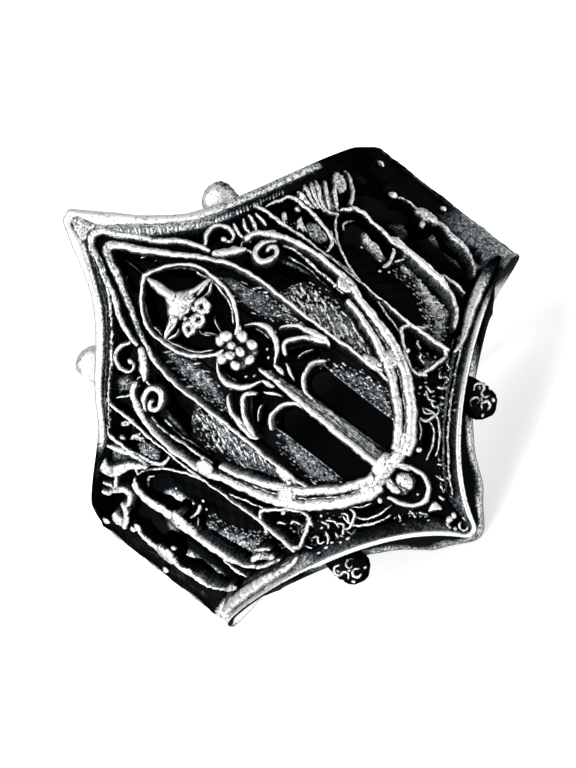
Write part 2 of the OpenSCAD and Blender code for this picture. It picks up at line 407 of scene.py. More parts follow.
def band_section(theta):
    """Radii and heights round the band's section, a row for each angle."""
    top = rim_height(UPPER_EDGE, theta)[:, None]
    rim = rim_height(LOWER_EDGE, theta)[:, None]
    hole = np.full(top.shape, BORE_R)
    z_out = -rim + (top + rim) * np.linspace(0, 1, BAND_ROWS)
    r_out = relief(np.repeat(theta[:, None], BAND_ROWS, axis=1), z_out)
    columns = [(r_out, z_out)]
    # Upper edge from the outer face to the finger hole, slightly hollowed
    for u in np.linspace(0.06, 1, 14):
        dip = 0.18 * math.sin(math.pi * min(u * 1.15, 1)) ** 2
        columns.append((r_out[:, -1:] + (hole - r_out[:, -1:]) * u, top - dip))
    foot = -liner_height(theta, BORE_R)[:, None]
    for u in np.linspace(0, 1, 26)[1:]:
        columns.append((hole, top + (foot - top) * u))
    for out, share in COVE:
        low = liner_height(theta, BORE_R + out)[:, None]
        columns.append((hole + out, -(low + (rim - RIM_FOOT - low) * share)))
    # Underside of the lower rim
    inner = BORE_R + COVE_END
    for u in np.linspace(0.12, 0.94, 10):
        columns.append((inner + (r_out[:, :1] - BORE_R - COVE_END) * u, -(rim - RIM_FOOT * (1 - u) ** 2)))
    return [np.concatenate(parts, axis=1) for parts in zip(*columns)]


def band_mesh():
    """Closed grid of the whole band: columns round it, rows round its section."""
    angles = spaced_angles()
    theta = np.where(angles > math.pi, angles - 2 * math.pi, angles)
    r, z = band_section(theta)
    n, m = r.shape
    points = round_band(np.repeat(theta, m), r.ravel(), z.ravel())
    i, j = np.meshgrid(np.arange(n), np.arange(m), indexing="ij")
    i2, j2 = (i + 1) % n, (j + 1) % m
    faces = np.stack([i * m + j, i2 * m + j, i2 * m + j2, i * m + j2], axis=-1).reshape(-1, 4)
    return points, faces.tolist()


def linked(name, data):
    """A new object in the scene."""
    obj = bpy.data.objects.new(name, data)
    bpy.context.scene.collection.objects.link(obj)
    return obj


def object_from(name, points, faces, material=None):
    """A mesh object at the origin from points in the ring frame."""
    mesh = bpy.data.meshes.new(name)
    mesh.from_pydata(to_world(points).tolist(), [], faces)
    mesh.validate()
    tidy_mesh(mesh)
    mesh.shade_smooth()
    if material:
        mesh.materials.append(material)
    return linked(name, mesh)


def tidy_mesh(mesh):
    """Merges doubles and turns all faces outwards."""
    bm = bmesh.new()
    bm.from_mesh(mesh)
    bmesh.ops.remove_doubles(bm, verts=bm.verts, dist=1e-7)
    bmesh.ops.recalc_face_normals(bm, faces=bm.faces)
    bm.to_mesh(mesh)
    bm.free()


def evaluated(obj):
    """The object's mesh with its modifiers applied, and the modifiers gone."""
    graph = bpy.context.evaluated_depsgraph_get()
    mesh = bpy.data.meshes.new_from_object(obj.evaluated_get(graph))
    obj.modifiers.clear()
    old = obj.data
    obj.data = mesh
    mesh.name = obj.name
    bpy.data.meshes.remove(old)
    return obj


def grain_shape(subdivisions):
    """Points and faces of a small ball with flat faces, of radius 1."""
    bm = bmesh.new()
    bmesh.ops.create_icosphere(bm, subdivisions=subdivisions, radius=1)
    points = np.array([v.co[:] for v in bm.verts])
    faces = [tuple(v.index for v in f.verts) for f in bm.faces]
    bm.free()
    return points, faces


def sweep_faces(sections, sides):
    """Faces of a closed bar, from its number of sections and the points of each."""
    faces = [
        (i * sides + j, i * sides + (j + 1) % sides, (i + 1) * sides + (j + 1) % sides, (i + 1) * sides + j)
        for i in range(sections - 1)
        for j in range(sides)
    ]
    ends = [tuple(range(sides - 1, -1, -1)), tuple((sections - 1) * sides + j for j in range(sides))]
    return faces + ends


BLOB = grain_shape(2)
# Sections of mouldings, across and outwards; what lies below 0 is sunk into the band
ROUND = [(math.cos(a), math.sin(a)) for a in np.linspace(0, math.pi, 7)] + [(-1, -1), (1, -1)]
ROOF = [(1, 0), (0.82, 0.34), (0.25, 0.94), (-0.25, 0.94), (-0.82, 0.34), (-1, 0), (-1, -1), (1, -1)]


def unit(v):
    """Vectors at length 1."""
    return v / np.maximum(np.linalg.norm(v, axis=-1, keepdims=True), 1e-12)


def spread(values, count):
    """Values spaced evenly along a path, or one value for all of it."""
    v = np.atleast_1d(np.asarray(values, float))
    return np.interp(np.linspace(0, 1, count), np.linspace(0, 1, len(v)), v)


ROUGHNESS = 0.012  # random shift of the points of a bar, in millimetres
# Heights of a mound from its sunk foot to its top: share of the outline and of the height
MOUND = ((1.0, 0.0), (0.95, 0.45), (0.82, 0.76), (0.6, 0.93), (0.32, 1.0))


class Metal:
    """Collects closed pieces of cast metal, in millimetres in the ring's frame. They are a little
    uneven, as things are that were cut in wax by hand."""

    def __init__(self, seed=1):
        self.points, self.faces, self.count = [], [], 0
        self.random = np.random.RandomState(seed)

    def add(self, points, faces):
        """Takes in a closed piece with its own numbering of points."""
        points = np.asarray(points, float)
        self.points.append(points)
        self.faces += [tuple(self.count + k for k in f) for f in faces]
        self.count += len(points)

    def wave(self, length, period, amount):
        """Gentle unevenness along a path."""
        phases = self.random.uniform(0, 2 * math.pi, 2)
        long = np.sin(2 * math.pi * length / period + phases[0])
        short = np.sin(2 * math.pi * length / (0.38 * period) + phases[1])
        return amount * (0.6 * long + 0.4 * short)

    def moulding(self, path, half_width, height, depth=1.0, shape=ROUND, ends="both", uneven=1.0):
        """A bar along a path: its section stands out from the band and is sunk into it."""
        p = np.asarray(path, float)
        n = len(p)
        w, h = spread(half_width, n), spread(height, n)
        length = np.concatenate([[0], np.cumsum(np.linalg.norm(np.diff(p, axis=0), axis=1))])
        for name, way in (("start", length), ("end", length[-1] - length)):
            if ends in (name, "both"):
                f = np.sqrt(np.clip(1 - (1 - np.clip(way / (w + 0.02), 0, 1)) ** 2, 0.04, 1))
                w, h = w * f, h * f
        w = w * (1 + self.wave(length, 1.5, 0.1 * uneven))
        h = h * (1 + self.wave(length, 1.1, 0.12 * uneven))
        along = unit(np.gradient(p, axis=0))
        out = unit(p * (1, 1, 0))
        side = unit(np.cross(along, out))
        up = unit(np.cross(side, along))
        p = p + side * self.wave(length, 1.9, 0.03)[:, None] + up * self.wave(length, 1.3, 0.03)[:, None]
        rings = []
        for u, v in shape:
            lift = v * h if v >= 0 else np.full(n, v * depth)
            rings.append(p + side * (u * w)[:, None] + up * lift[:, None])
        points = np.stack(rings, axis=1).reshape(-1, 3)
        points += self.random.normal(0, ROUGHNESS * uneven, points.shape)
        self.add(points, sweep_faces(n, len(shape)))

    def bars(self, place, rows, shape=ROUND, uneven=1.0):
        """Mouldings along smooth paths: radius, half width, height and points of each, and before
        its points which of its ends are free, where not both are."""
        for radius, width, height, *ends, points in rows:
            path = smooth(points)
            free = ends[0] if ends else "both"
            self.moulding(place(path, spread(radius, len(path))), width, height, 1.0, shape, free, uneven)

    def mound(self, place, outline, radius, height, rough=0.02):
        """A rounded boss or leaf over a closed outline."""
        o = smooth(outline, 0.13, closed=True)[:-1]
        middle = o.mean(axis=0)
        n = len(o)
        layers = [place(o, np.full(n, radius - 1.0))]
        for share, rise in MOUND:
            r = radius + height * rise + self.random.normal(0, rough, n)
            layers.append(place(middle + (o - middle) * share, r))
        layers.append(place([middle], radius + height))
        faces = [tuple(range(n))]
        for k in range(len(MOUND)):
            for j in range(n):
                j2 = (j + 1) % n
                faces.append((k * n + j, (k + 1) * n + j, (k + 1) * n + j2, k * n + j2))
        last = len(MOUND) * n
        faces += [(last + j, last + n, last + (j + 1) % n) for j in range(n)]
        self.add(np.vstack(layers), faces)

    def blob(self, centre, size, turn=0.0, rough=0.05):
        """An egg-shaped grain: size along the band, along z and outwards, turned in its surface."""
        c = np.asarray(centre, float)
        out = unit(c * (1, 1, 0))
        across = np.array([-out[1], out[0], 0])
        a = math.radians(turn)
        u = across * math.cos(a) + np.array([0, 0, math.sin(a)])
        v = -across * math.sin(a) + np.array([0, 0, math.cos(a)])
        unit_points, faces = BLOB
        q = unit_points * np.asarray(size, float) * (1 + self.random.normal(0, rough, (len(unit_points), 1)))
        self.add(c + q[:, :1] * u + q[:, 1:2] * v + q[:, 2:] * out, faces)

    def beads(self, place, rows):
        """Round grains: radius of their place, position and half size of each."""
        for radius, along, z, size in rows:
            turn = self.random.uniform(0, 180)
            self.blob(place([(along, z)], radius)[0], (size * 1.12, size * 0.92, size), turn)

    def mirror(self):
        """Adds the mirror image of all that is there."""
        points = np.vstack(self.points) * (-1, 1, 1)
        self.add(points, [f[::-1] for f in self.faces])

    def make(self, name, material):
        """One mesh object of all that was added."""
        return object_from(name, np.vstack(self.points), self.faces, material)


# Materials

def linear(hex_colour):
    """An sRGB hex colour as a linear one."""
    values = [int(hex_colour[i : i + 2], 16) / 255 for i in (1, 3, 5)]
    return [v / 12.92 if v <= 0.04045 else ((v + 0.055) / 1.055) ** 2.4 for v in values] + [1.0]


def node(tree, kind, settings=None, inputs=None):
    """Adds a node with its settings; an input is a value or another node's output."""
    made = tree.nodes.new(kind)
    for key, value in (settings or {}).items():
        setattr(made, key, value)
    for key, value in (inputs or {}).items():
        if isinstance(value, bpy.types.NodeSocket):
            tree.links.new(value, made.inputs[key])
        else:
            made.inputs[key].default_value = value
    return made


def new_material(name):
    """A material with no nodes yet."""
    material = bpy.data.materials.new(name)
    material.use_nodes = True
    material.node_tree.nodes.clear()
    return material


def oxidised_silver(name, bright, middle, dark, low, high):
    """Cast sterling silver, darkened with liver of sulphur and polished back on the high spots.
    The hollows stay black, thinner sulphide between is bluish grey and the worn ridges are bright. The
    attribute that drives it also carries painted light and shade."""
    material = new_material(name)
    tree = material.node_tree
    place = node(tree, "ShaderNodeTexCoord").outputs["Object"]
    # The attribute read here holds polish and patina, with painted light and shade laid over it
    worn = node(tree, "ShaderNodeAttribute", {"attribute_name": "wear_and_light"}).outputs["Fac"]
    # Pits of the casting, under a tenth of a millimetre apart
    pits = node(
        tree, "ShaderNodeTexNoise", None,
        {"Vector": place, "Scale": 7500.0, "Detail": 3.0, "Roughness": 0.7},
    )
    # Cloudy darkening, about 0.8 mm across
    cloud = node(tree, "ShaderNodeTexNoise", None, {"Vector": place, "Scale": 1100.0, "Detail": 2.0})
    speckle = node(
        tree, "ShaderNodeMapRange", None,
        {"Value": pits.outputs["Fac"], "From Min": 0.35, "From Max": 0.65, "To Min": 0.42, "To Max": 1.45},
    )
    drift = node(
        tree, "ShaderNodeMapRange", None,
        {"Value": cloud.outputs["Fac"], "From Min": 0.3, "From Max": 0.7, "To Min": -0.06, "To Max": 0.06},
    )
    a = node(tree, "ShaderNodeMath", {"operation": "MULTIPLY"}, {0: worn, 1: speckle.outputs["Result"]})
    b = node(tree, "ShaderNodeMath", {"operation": "ADD"}, {0: a.outputs[0], 1: drift.outputs["Result"]})
    share = node(
        tree, "ShaderNodeMapRange", {"interpolation_type": "SMOOTHSTEP"},
        {"Value": b.outputs[0], "From Min": low, "From Max": high},
    ).outputs["Result"]
    colour = node(tree, "ShaderNodeValToRGB", None, {"Fac": share})
    stops = colour.color_ramp.elements
    stops[0].color, stops[1].color = linear(dark), linear(bright)
    stops.new(0.4).color = linear(middle)
    rough = node(tree, "ShaderNodeMapRange", None, {"Value": share, "To Min": 0.48, "To Max": 0.34})
    # The sulphide stays dark at grazing angles
    rim_tint = node(tree, "ShaderNodeMapRange", None, {"Value": share, "To Min": 0.05, "To Max": 1.0})
    bump = node(
        tree, "ShaderNodeBump", None,
        {"Strength": 0.7, "Distance": 0.00004, "Height": pits.outputs["Fac"]},
    )
    shader = node(
        tree, "ShaderNodeBsdfPrincipled", None,
        {
            "Base Color": colour.outputs["Color"], "Metallic": 1.0, "Roughness": rough.outputs["Result"],
            "Normal": bump.outputs["Normal"], "Specular Tint": rim_tint.outputs["Result"],
        },
    )
    node(tree, "ShaderNodeOutputMaterial", None, {"Surface": shader.outputs["BSDF"]})
    return material


def paper_floor():
    """Matt white paper under the ring."""
    material = new_material("matt white paper")
    tree = material.node_tree
    shader = node(tree, "ShaderNodeBsdfPrincipled", None, {
        "Base Color": linear("#F4F4F2"), "Roughness": 0.9,
        "Emission Color": linear("#FFFFFF"), "Emission Strength": 0.55,
    })
    node(tree, "ShaderNodeOutputMaterial", None, {"Surface": shader.outputs["BSDF"]})
    return material


# Patina, with painted light and shade: how far each spot stands out from the metal round it, and where light
# and shade are painted on it

MAP_STEP = 0.08  # mm between the points of the height map
MAP_S = math.radians(116) * UNROLL_R  # the map reaches this far round the band, each way
MAP_Z = 14.2  # and this far up and down


def height_map(pieces):
    """Highest metal over each spot of the unrolled band, in the ring's frame."""
    s = np.arange(-MAP_S, MAP_S, MAP_STEP)
    z = np.arange(-MAP_Z, MAP_Z, MAP_STEP)
    ss, zz = np.meshgrid(s, z, indexing="ij")
    theta = ss / UNROLL_R
    heights = relief(theta, zz)
    outside = (zz > rim_height(UPPER_EDGE, theta)) | (zz < -rim_height(LOWER_EDGE, theta))
    heights[outside] = PANEL_R
    for piece in pieces:
        p = to_ring(vertex_array(piece.data))
        a, b, c = np.moveaxis(p[triangle_array(piece.data)], 1, 0)
        q = np.vstack([p, (a + b + c) / 3, (a + b) / 2, (b + c) / 2])
        r = np.hypot(q[:, 0], q[:, 1])
        i = np.round((np.arctan2(q[:, 0], -q[:, 1]) * UNROLL_R + MAP_S) / MAP_STEP).astype(int)
        j = np.round((q[:, 2] + MAP_Z) / MAP_STEP).astype(int)
        ok = (i >= 0) & (i < len(s)) & (j >= 0) & (j < len(z))
        np.maximum.at(heights, (i[ok], j[ok]), r[ok])
    return heights


def vertex_array(mesh):
    """Places of a mesh's points, in metres."""
    values = np.empty(len(mesh.vertices) * 3)
    mesh.vertices.foreach_get("co", values)
    return values.reshape(-1, 3)


def normal_array(mesh):
    """Outward directions at a mesh's points."""
    values = np.empty(len(mesh.vertices) * 3)
    mesh.vertex_normals.foreach_get("vector", values)
    return values.reshape(-1, 3)


def triangle_array(mesh):
    """Point numbers of a mesh's triangles."""
    mesh.calc_loop_triangles()
    values = np.empty(len(mesh.loop_triangles) * 3, int)
    mesh.loop_triangles.foreach_get("vertices", values)
    return values.reshape(-1, 3)


def blurred(values, cells):
    """Three passes of a box blur in both directions."""
    out = values
    width = 2 * cells + 1
    for axis in (0, 1) * 3:
        pad = [(0, 0), (0, 0)]
        pad[axis] = (cells + 1, cells)
        total = np.cumsum(np.pad(out, pad, mode="edge"), axis=axis)
        high = np.take(total, range(width, total.shape[axis]), axis=axis)
        low = np.take(total, range(0, total.shape[axis] - width), axis=axis)
        out = (high - low) / width
    return out


# Painted sheens that stand in for light caught on the niches' floors and walls, and a little polish
# on some grainy fields and the upper tip: outline, whether it is in degrees round the band, and its
# value at the right and the left
SHEENS_AND_POLISH = {
    "niche_1_upper": (
        ((46.6, 1.1), (49.4, 1.6), (51.4, 0.9), (51.4, -0.2), (48.6, -0.6), (46.0, -0.4)),
        True, 0.68, 0.68,
    ),
    "niche_1_lower": (
        ((51.0, -0.9), (51.5, -2.4), (50.5, -3.9), (47.0, -5.0), (41.0, -5.6), (35.5, -6.1), (36.0, -5.2),
         (42.0, -4.2), (47.2, -2.2), (48.6, -1.0)),
        True, 0.72, 0.5,
    ),
    "niche_1_wall": (
        ((47.4, -1.5), (49.6, -1.1), (51.4, -1.4), (51.4, -3.4), (49.4, -4.4), (44.5, -5.5), (39.5, -6.1),
         (41.5, -5.1), (46.0, -4.0), (48.0, -2.8)),
        True, 0.92, 0.7,
    ),
    "niche_2_upper": (
        ((62.0, 1.2), (66.0, 0.8), (67.6, 0.0), (64.0, -0.45), (59.6, -0.4), (60.5, 0.4)),
        True, 0.5, 0.5,
    ),
    "niche_2_lower": (
        ((66.2, -0.9), (69.6, -1.1), (69.8, -2.6), (68.2, -3.9), (64.5, -4.6), (62.0, -4.6), (64.6, -3.4),
         (66.0, -2.2)),
        True, 0.8, 0.75,
    ),
    "niche_3_lower": (
        ((70.5, -1.5), (75.0, -2.0), (76.5, -3.0), (74.0, -4.0), (69.5, -4.3), (69.0, -3.0)),
        True, 0.6, 0.2,
    ),
    "lancet_side": (
        ((2.15, -2.3), (2.7, -2.6), (3.3, -3.6), (3.3, -5.2), (2.4, -6.5), (2.05, -6.4), (2.05, -4.0)),
        False, 0.4, 0.4,
    ),
    "lancet_head": (
        ((0.5, -1.3), (1.4, -0.9), (2.3, -1.2), (2.7, -1.9), (2.0, -1.6), (1.3, -1.2), (0.6, -1.7)),
        False, 0.42, 0.42,
    ),
    "shield_field": (
        ((3.75, 1.3), (4.4, 1.0), (5.2, -0.4), (5.2, -1.8), (4.5, -3.4), (4.0, -4.4), (3.75, -3.0)),
        False, 0.42, 0.42,
    ),
    "reeds": (
        ((5.85, -0.6), (5.5, -2.2), (5.1, -3.6), (4.3, -5.0), (3.4, -6.1), (2.4, -7.0), (1.2, -7.8),
         (0.5, -7.7), (1.9, -6.8), (3.2, -5.5), (4.2, -3.9), (4.9, -2.2), (5.4, -0.7)),
        False, 0.5, 0.5,
    ),
    "slit": (((5.5, 3.9), (5.9, 3.4), (6.1, 1.6), (5.9, 0.5), (5.6, 0.7), (5.6, 2.4)), False, 0.44, 0.44),
    "ogive_field": (
        ((2.3, 5.3), (2.9, 5.2), (3.3, 3.5), (3.25, 0.8), (2.6, 1.2), (2.0, 3.0)),
        False, 0.42, 0.42,
    ),
    "leaves": (
        ((33.8, 5.0), (36.0, 5.3), (38.0, 4.6), (40.0, 3.4), (38.6, 2.4), (36.0, 2.2), (34.0, 2.8)),
        True, 0.36, 0.36,
    ),
    "crest": (
        ((42.5, 5.3), (50.0, 5.1), (52.6, 4.4), (51.0, 3.4), (47.5, 3.1), (44.6, 3.5)),
        True, 0.42, 0.42,
    ),
    "scroll": (
        ((53.0, 3.4), (58.0, 3.6), (62.8, 3.3), (62.5, 2.7), (57.0, 2.7), (53.0, 2.6)),
        True, 0.42, 0.42,
    ),
    "foot_window": (((27.0, -5.4), (31.5, -5.4), (32.4, -6.3), (29.0, -6.4), (24.0, -6.0)), True, 0.5, 0.5),
    "tip": (
        ((0, 13.4), (0.6, 12.6), (1.1, 11.6), (1.7, 10.5), (1.3, 10.6), (0.75, 11.5), (0.3, 12.1),
         (0, 12.3)),
        False, 0.55, 0.55,
    ),
}


RIM_PIECES = ("ring_band", "rim_ropes", "rim_threads")
SKIN = 0.02  # mm within which a point still counts as on the finger hole


class Surface:
    """Points of a piece as the patina sees them: their place on the band and how they face."""

    def __init__(self, piece):
        points = vertex_array(piece.data)
        p = to_ring(points)
        n = to_ring(points + normal_array(piece.data) / 1000) - p
        self.name = piece.name
        self.is_band = piece.name == "ring_band"
        self.x, self.z = p[:, 0], p[:, 2]
        self.r = np.hypot(p[:, 0], p[:, 1])
        self.theta = np.arctan2(p[:, 0], -p[:, 1])
        self.s = self.theta * UNROLL_R
        self.turn = np.degrees(self.theta)
        self.side = np.abs(self.turn)
        self.right, self.left = self.theta > 0, self.theta < 0
        self.outside = outer_radius(self.theta)
        self.facing = (n[:, 0] * p[:, 0] + n[:, 1] * p[:, 1]) / self.r
        self.endwise = np.abs(n[:, 2])
        # Distances from the edges, measured along the finger
        self.upper = rim_height(UPPER_EDGE, self.theta) - self.z
        self.lower = rim_height(LOWER_EDGE, self.theta) + self.z
        # 1 on the head and its sides, 0 on the shank
        self.head = 1 - step(106, 118, self.side)


def standing_out(at, near, wide):
    """Polish of what stands out from the metal round it and faces outwards."""
    i = np.clip(np.round((at.s + MAP_S) / MAP_STEP).astype(int), 0, near.shape[0] - 1)
    j = np.clip(np.round((at.z + MAP_Z) / MAP_STEP).astype(int), 0, near.shape[1] - 1)
    wear_and_light = 0.8 * step(-0.06, 0.28, at.r - near[i, j]) + 0.36 * step(-0.7, 0.5, at.r - wide[i, j])
    if not at.is_band:
        wear_and_light = np.maximum(wear_and_light, 0.85 * step(11.68, 11.95, at.r))
    return wear_and_light * (0.4 + 0.6 * step(-0.15, 0.6, at.facing))


def mullion_crests(at, wear_and_light):
    """Mullions are bright on the crest only, but grainy down to the foot."""
    mullion = (at.name == "side_windows") | ((at.name == "foliage") & (at.side > 47) & (at.z < 2.4))
    foot = step(-0.6, -1.4, at.z) * (at.side < 55) + step(-1.6, -2.6, at.z) * (at.side > 58)
    foot = np.minimum(foot, 1) * np.where(at.left, 0.6, 0.82)
    flank = 0.15 + foot * step(10.9, 11.2, at.r)
    return wear_and_light * np.where(mullion, flank + (1 - flank) * step(0.1, 0.65, at.facing), 1)


def grain_polish(at):
    """Grains are polished in patches under a millimetre across, and less at the left."""
    worn = 0.92 if at.name == "shield_strokes" else 0.62
    patch = np.sin(9.1 * at.s + 2.3 * at.z) * np.sin(7.7 * at.z - 3.1 * at.s)
    return (worn + 0.34 * patch) * np.where(at.left, 0.85, 1)


def piece_shades(at, wear_and_light):
    """What the blackening does to single pieces, and the painted light and shade on the crockets."""
    if at.name == "foliage":
        # The roundel's leaflets are duller at the left
        return wear_and_light * (1 - 0.25 * span(at.side, (33, 34), (42, 41)) * at.left)
    if at.name == "lancet_tracery":
        # The column keeps some polish all down its shaft
        shaft = step(0.64, 0.52, np.abs(at.x)) * step(0.0, -0.6, at.z) * (at.facing > 0.4)
        return np.maximum(wear_and_light, 0.5 * shaft)
    if at.name == "ogive_mouldings":
        # The arch is duller at its point, and its inner moulding at the left
        inner = step(11.6, 11.3, at.z + 1.72 * np.abs(at.x)) * step(5.5, 6.5, at.z)
        return wear_and_light * (1 - 0.3 * step(11.9, 12.3, at.z)) * (1 - 0.38 * inner * at.left)
    if at.name == "crocket_knobs":
        # Painted light on the crockets: the upper ones are bright towards their ends, with painted shade at
        # their base and outer side, and the lower ones are painted black as shade
        painted_shade = 0.75 * step(7.8, 7.0, at.z) + 0.5 * step(5.8, 6.2, at.x)
        return np.where(at.z < 0, 0.1, 0.95 - np.minimum(painted_shade, 0.8))
    return wear_and_light


def band_floors(at, wear_and_light):
    """The band's ground is dull, the niches' walls are black, and some floors carry a painted sheen or a
    little polish.
    """
    wear_and_light = np.where(at.r < at.outside - 0.6, 0.45 * wear_and_light, wear_and_light)
    wall = span(at.side, (34, 38), (80, 76)) * step(3.4, 2.8, at.z)
    wall = wall * np.where(at.left, step(-5.4, -4.8, at.z), step(-1.0, -0.4, at.z))
    wear_and_light = wear_and_light * (1 - 0.75 * wall * (at.r < at.outside - 0.2))
    # Painted sheen on niche floors and walls, and a little polish on some other floors
    for outline, in_degrees, right_glow, left_glow in SHEENS_AND_POLISH.values():
        inside = inward(flat_outline(outline, in_degrees, 0.3), np.abs(at.s), at.z)
        wear_and_light = np.maximum(wear_and_light, np.where(at.left, left_glow, right_glow) * step(0, 0.45, inside))
    return wear_and_light


# Faint polish inside the beads of the rims: at the right and the left, where it fades and where
# it starts across the rim in millimetres, and where it fades round the band in degrees
RIM_GLOWS = {
    "upper": (0.55, 0.36, (1.3, 0.7), 0.3, (38, 20)),
    "lower": (0.3, 0.08, (0.98, 0.62), 0.2, (48, 30)),
}


def band_rims(at, wear_and_light):
    """The rims have bright beads, black grooves inside them and a faint polish in the grooves."""
    for name, gap, curve in (("upper", at.upper, UPPER_EDGE), ("lower", at.lower, LOWER_EDGE)):
        d = gap * edge_lean(curve, at.theta)
        width = BEAD_WIDTHS[name]
        groove = span(d, (width - 0.06, width + 0.08), (1.9, 1.5)) * step(105, 95, at.side)
        wear_and_light = wear_and_light * (1 - 0.85 * groove)
        right_glow, left_glow, across, start, along = RIM_GLOWS[name]
        glow = np.where(at.right, right_glow, left_glow) * step(*across, d) * step(*along, at.side)
        wear_and_light = np.maximum(wear_and_light, glow * (d > start))
    return wear_and_light


def band_sides(at, wear_and_light):
    """Painted light and shade at the sides: black piers, a bright roll along the lower edge at the left with
    a dark line under it, and darker window heads.
    """
    # Painted shade on the piers
    wear_and_light = wear_and_light * (1 - 0.8 * span(at.side, (76, 78.5), (84, 82)))
    # Painted highlight on the roll along the lower edge at the left, and a painted dark line under its edge
    lit_left_roll = span(at.turn, (-92, -80), (-28, -36))
    wear_and_light = np.maximum(wear_and_light, 0.8 * lit_left_roll * step(1.25, 0.95, at.lower) * (at.facing > 0.3))
    wear_and_light = wear_and_light * (1 - 0.95 * lit_left_roll * step(0.16, 0.1, at.lower))
    # Painted shade over the window heads
    return wear_and_light * (1 - 0.5 * step(54, 58, at.side) * step(2.9, 3.3, at.z) * at.head)


def side_shades(at, wear_and_light):
    """Painted shade: the rims are black at the sides and the right side is duller, as if lit from the left.
    """
    # Painted shade on the upper rims at the sides
    black = np.where(at.right, step(52, 66, at.side), step(39, 47, at.side) * (at.name in RIM_PIECES))
    wear_and_light = wear_and_light * (1 - 0.85 * black * at.head * step(1.5, 0.9, at.upper))
    # Painted shade along the lower rim at the right
    shade_from = 42 if at.is_band else 52
    black = step(shade_from, shade_from + 16, at.turn)
    wear_and_light = wear_and_light * (1 - 0.8 * black * at.head * step(1.5, 0.9, at.lower))
    # Painted shade over the right side of the head
    wear_and_light = wear_and_light * (1 - 0.35 * step(55, 75, at.turn) * at.head)
    if at.is_band:
        # Painted shade over the upper right of the band
        wear_and_light = wear_and_light * (1 - 0.8 * step(51, 56, at.turn) * step(2.2, 2.8, at.z) * at.head)
        # Painted haze of reflected light on the pier at the right, in its lower half
        painted_haze = 0.46 * span(at.turn, (65, 70), (92, 88)) * step(0.4, -2.0, at.z)
        wear_and_light = np.maximum(wear_and_light, painted_haze * (at.r > at.outside - 1.25) * (at.facing > 0.3))
    # Painted shade along the upper rim at the right
    if at.name != "crocket_knobs":
        wear_and_light = wear_and_light * (1 - 0.45 * step(14, 30, at.turn) * step(1.0, 0.7, at.upper) * at.head)
    return wear_and_light


def band_edges(at, wear_and_light):
    """Painted shade on the upper and lower edge faces, black at the head and polished towards the shank, and
    a painted highlight on the inner wall below the face.
    """
    # Painted sheen on the pier at the left
    wear_and_light = np.where((at.turn < -83) & (at.turn > -95), np.maximum(wear_and_light, 0.5), wear_and_light)
    # Painted shade on the edge faces: the upper edge at the sides and the right, the lower edge all but its
    # far left
    across = (at.facing < 0.35) & (at.endwise > 0.5) & (at.r > BORE_R + SKIN) & (at.r < at.outside - 0.35)
    on_edge = across & (np.minimum(at.upper, at.lower) < 0.5)
    right_shade = step(50, 62, at.side) + 0.6 * step(14, 30, at.side)
    upper_shade = np.where(at.right, right_shade, step(39, 47, at.side))
    black = np.where(at.upper < 0.5, upper_shade, step(-76, -68, at.turn))
    wear_and_light = np.where(on_edge, 0.9 - 0.84 * np.minimum(black, 1) * (1 - step(95, 125, at.side)), wear_and_light)
    # Painted highlight: the inner wall shows as a thin bright line below the face
    hem_highlight = (at.r > BORE_R + SKIN) & (at.r < BORE_R + 1.3) & (at.side < 60) & (at.z < -6)
    line = step(0.32, 0.16, at.z + liner_height(at.theta, at.r)) * step(55, 35, at.side)
    return np.where(hem_highlight, np.where(at.right, 0.68, 0.5) * line, wear_and_light)


def set_wear_and_light(piece, near, wide):
    """Stores the polish of each point, 0 in the hollows and 1 on what stands out, with painted light and
    shade laid over it.
    """
    at = Surface(piece)
    if at.name in SHEETS:
        wear_and_light = grain_polish(at)
    else:
        wear_and_light = standing_out(at, near, wide)
        changes = (band_floors, band_rims, band_sides) if at.is_band else (mullion_crests, piece_shades)
        for change in changes:
            wear_and_light = change(at, wear_and_light)
    wear_and_light = side_shades(at, wear_and_light)
    if at.is_band:
        wear_and_light = band_edges(at, wear_and_light)
    # The shank is evenly polished, and the finger hole is painted black as shade inside the ring
    wear_and_light = np.where(at.side > 113, 0.75, wear_and_light)
    wear_and_light = np.where(at.r < BORE_R + SKIN, 0.08, wear_and_light)
    layer = piece.data.attributes.get("wear_and_light") or piece.data.attributes.new("wear_and_light", "FLOAT", "POINT")
    layer.data.foreach_set("value", wear_and_light.astype(np.float32))


# How far the upper edge stands off its true line, in millimetres by degrees round the band: the
# casting is fuller beside the tip and drawn in at the left
OUT_OF_TRUE = (
    (-112, 0), (-80, -0.6), (-66, -0.6), (-47, -0.7), (-41, -0.66), (-37, -0.5), (-33, -0.2), (-28, 0),
    (-12, 0), (-8, 0.22), (-5, 0.38), (-2, 0.12), (0, 0.02), (2, 0.24), (5, 0.55), (8, 0.62), (11, 0.38),
    (14.6, 0.22), (18, 0),
)


def pull_out_of_true(piece):
    """Shifts the upper edge of a piece along the finger, fading out below the rim."""
    mesh = piece.data
    p = to_ring(vertex_array(mesh))
    theta = np.arctan2(p[:, 0], -p[:, 1])
    table = np.array(OUT_OF_TRUE)
    off = np.interp(np.degrees(theta), table[:, 0], table[:, 1])
    p[:, 2] += off * step(-2.0, -0.3, p[:, 2] - rim_height(UPPER_EDGE, theta))
    mesh.vertices.foreach_set("co", to_world(p).ravel())
    mesh.update()


# Pieces of the ring, for the right half and mirrored, or in the middle. Points (x, z) are as seen
# from the front and points (degrees, z) go round the band

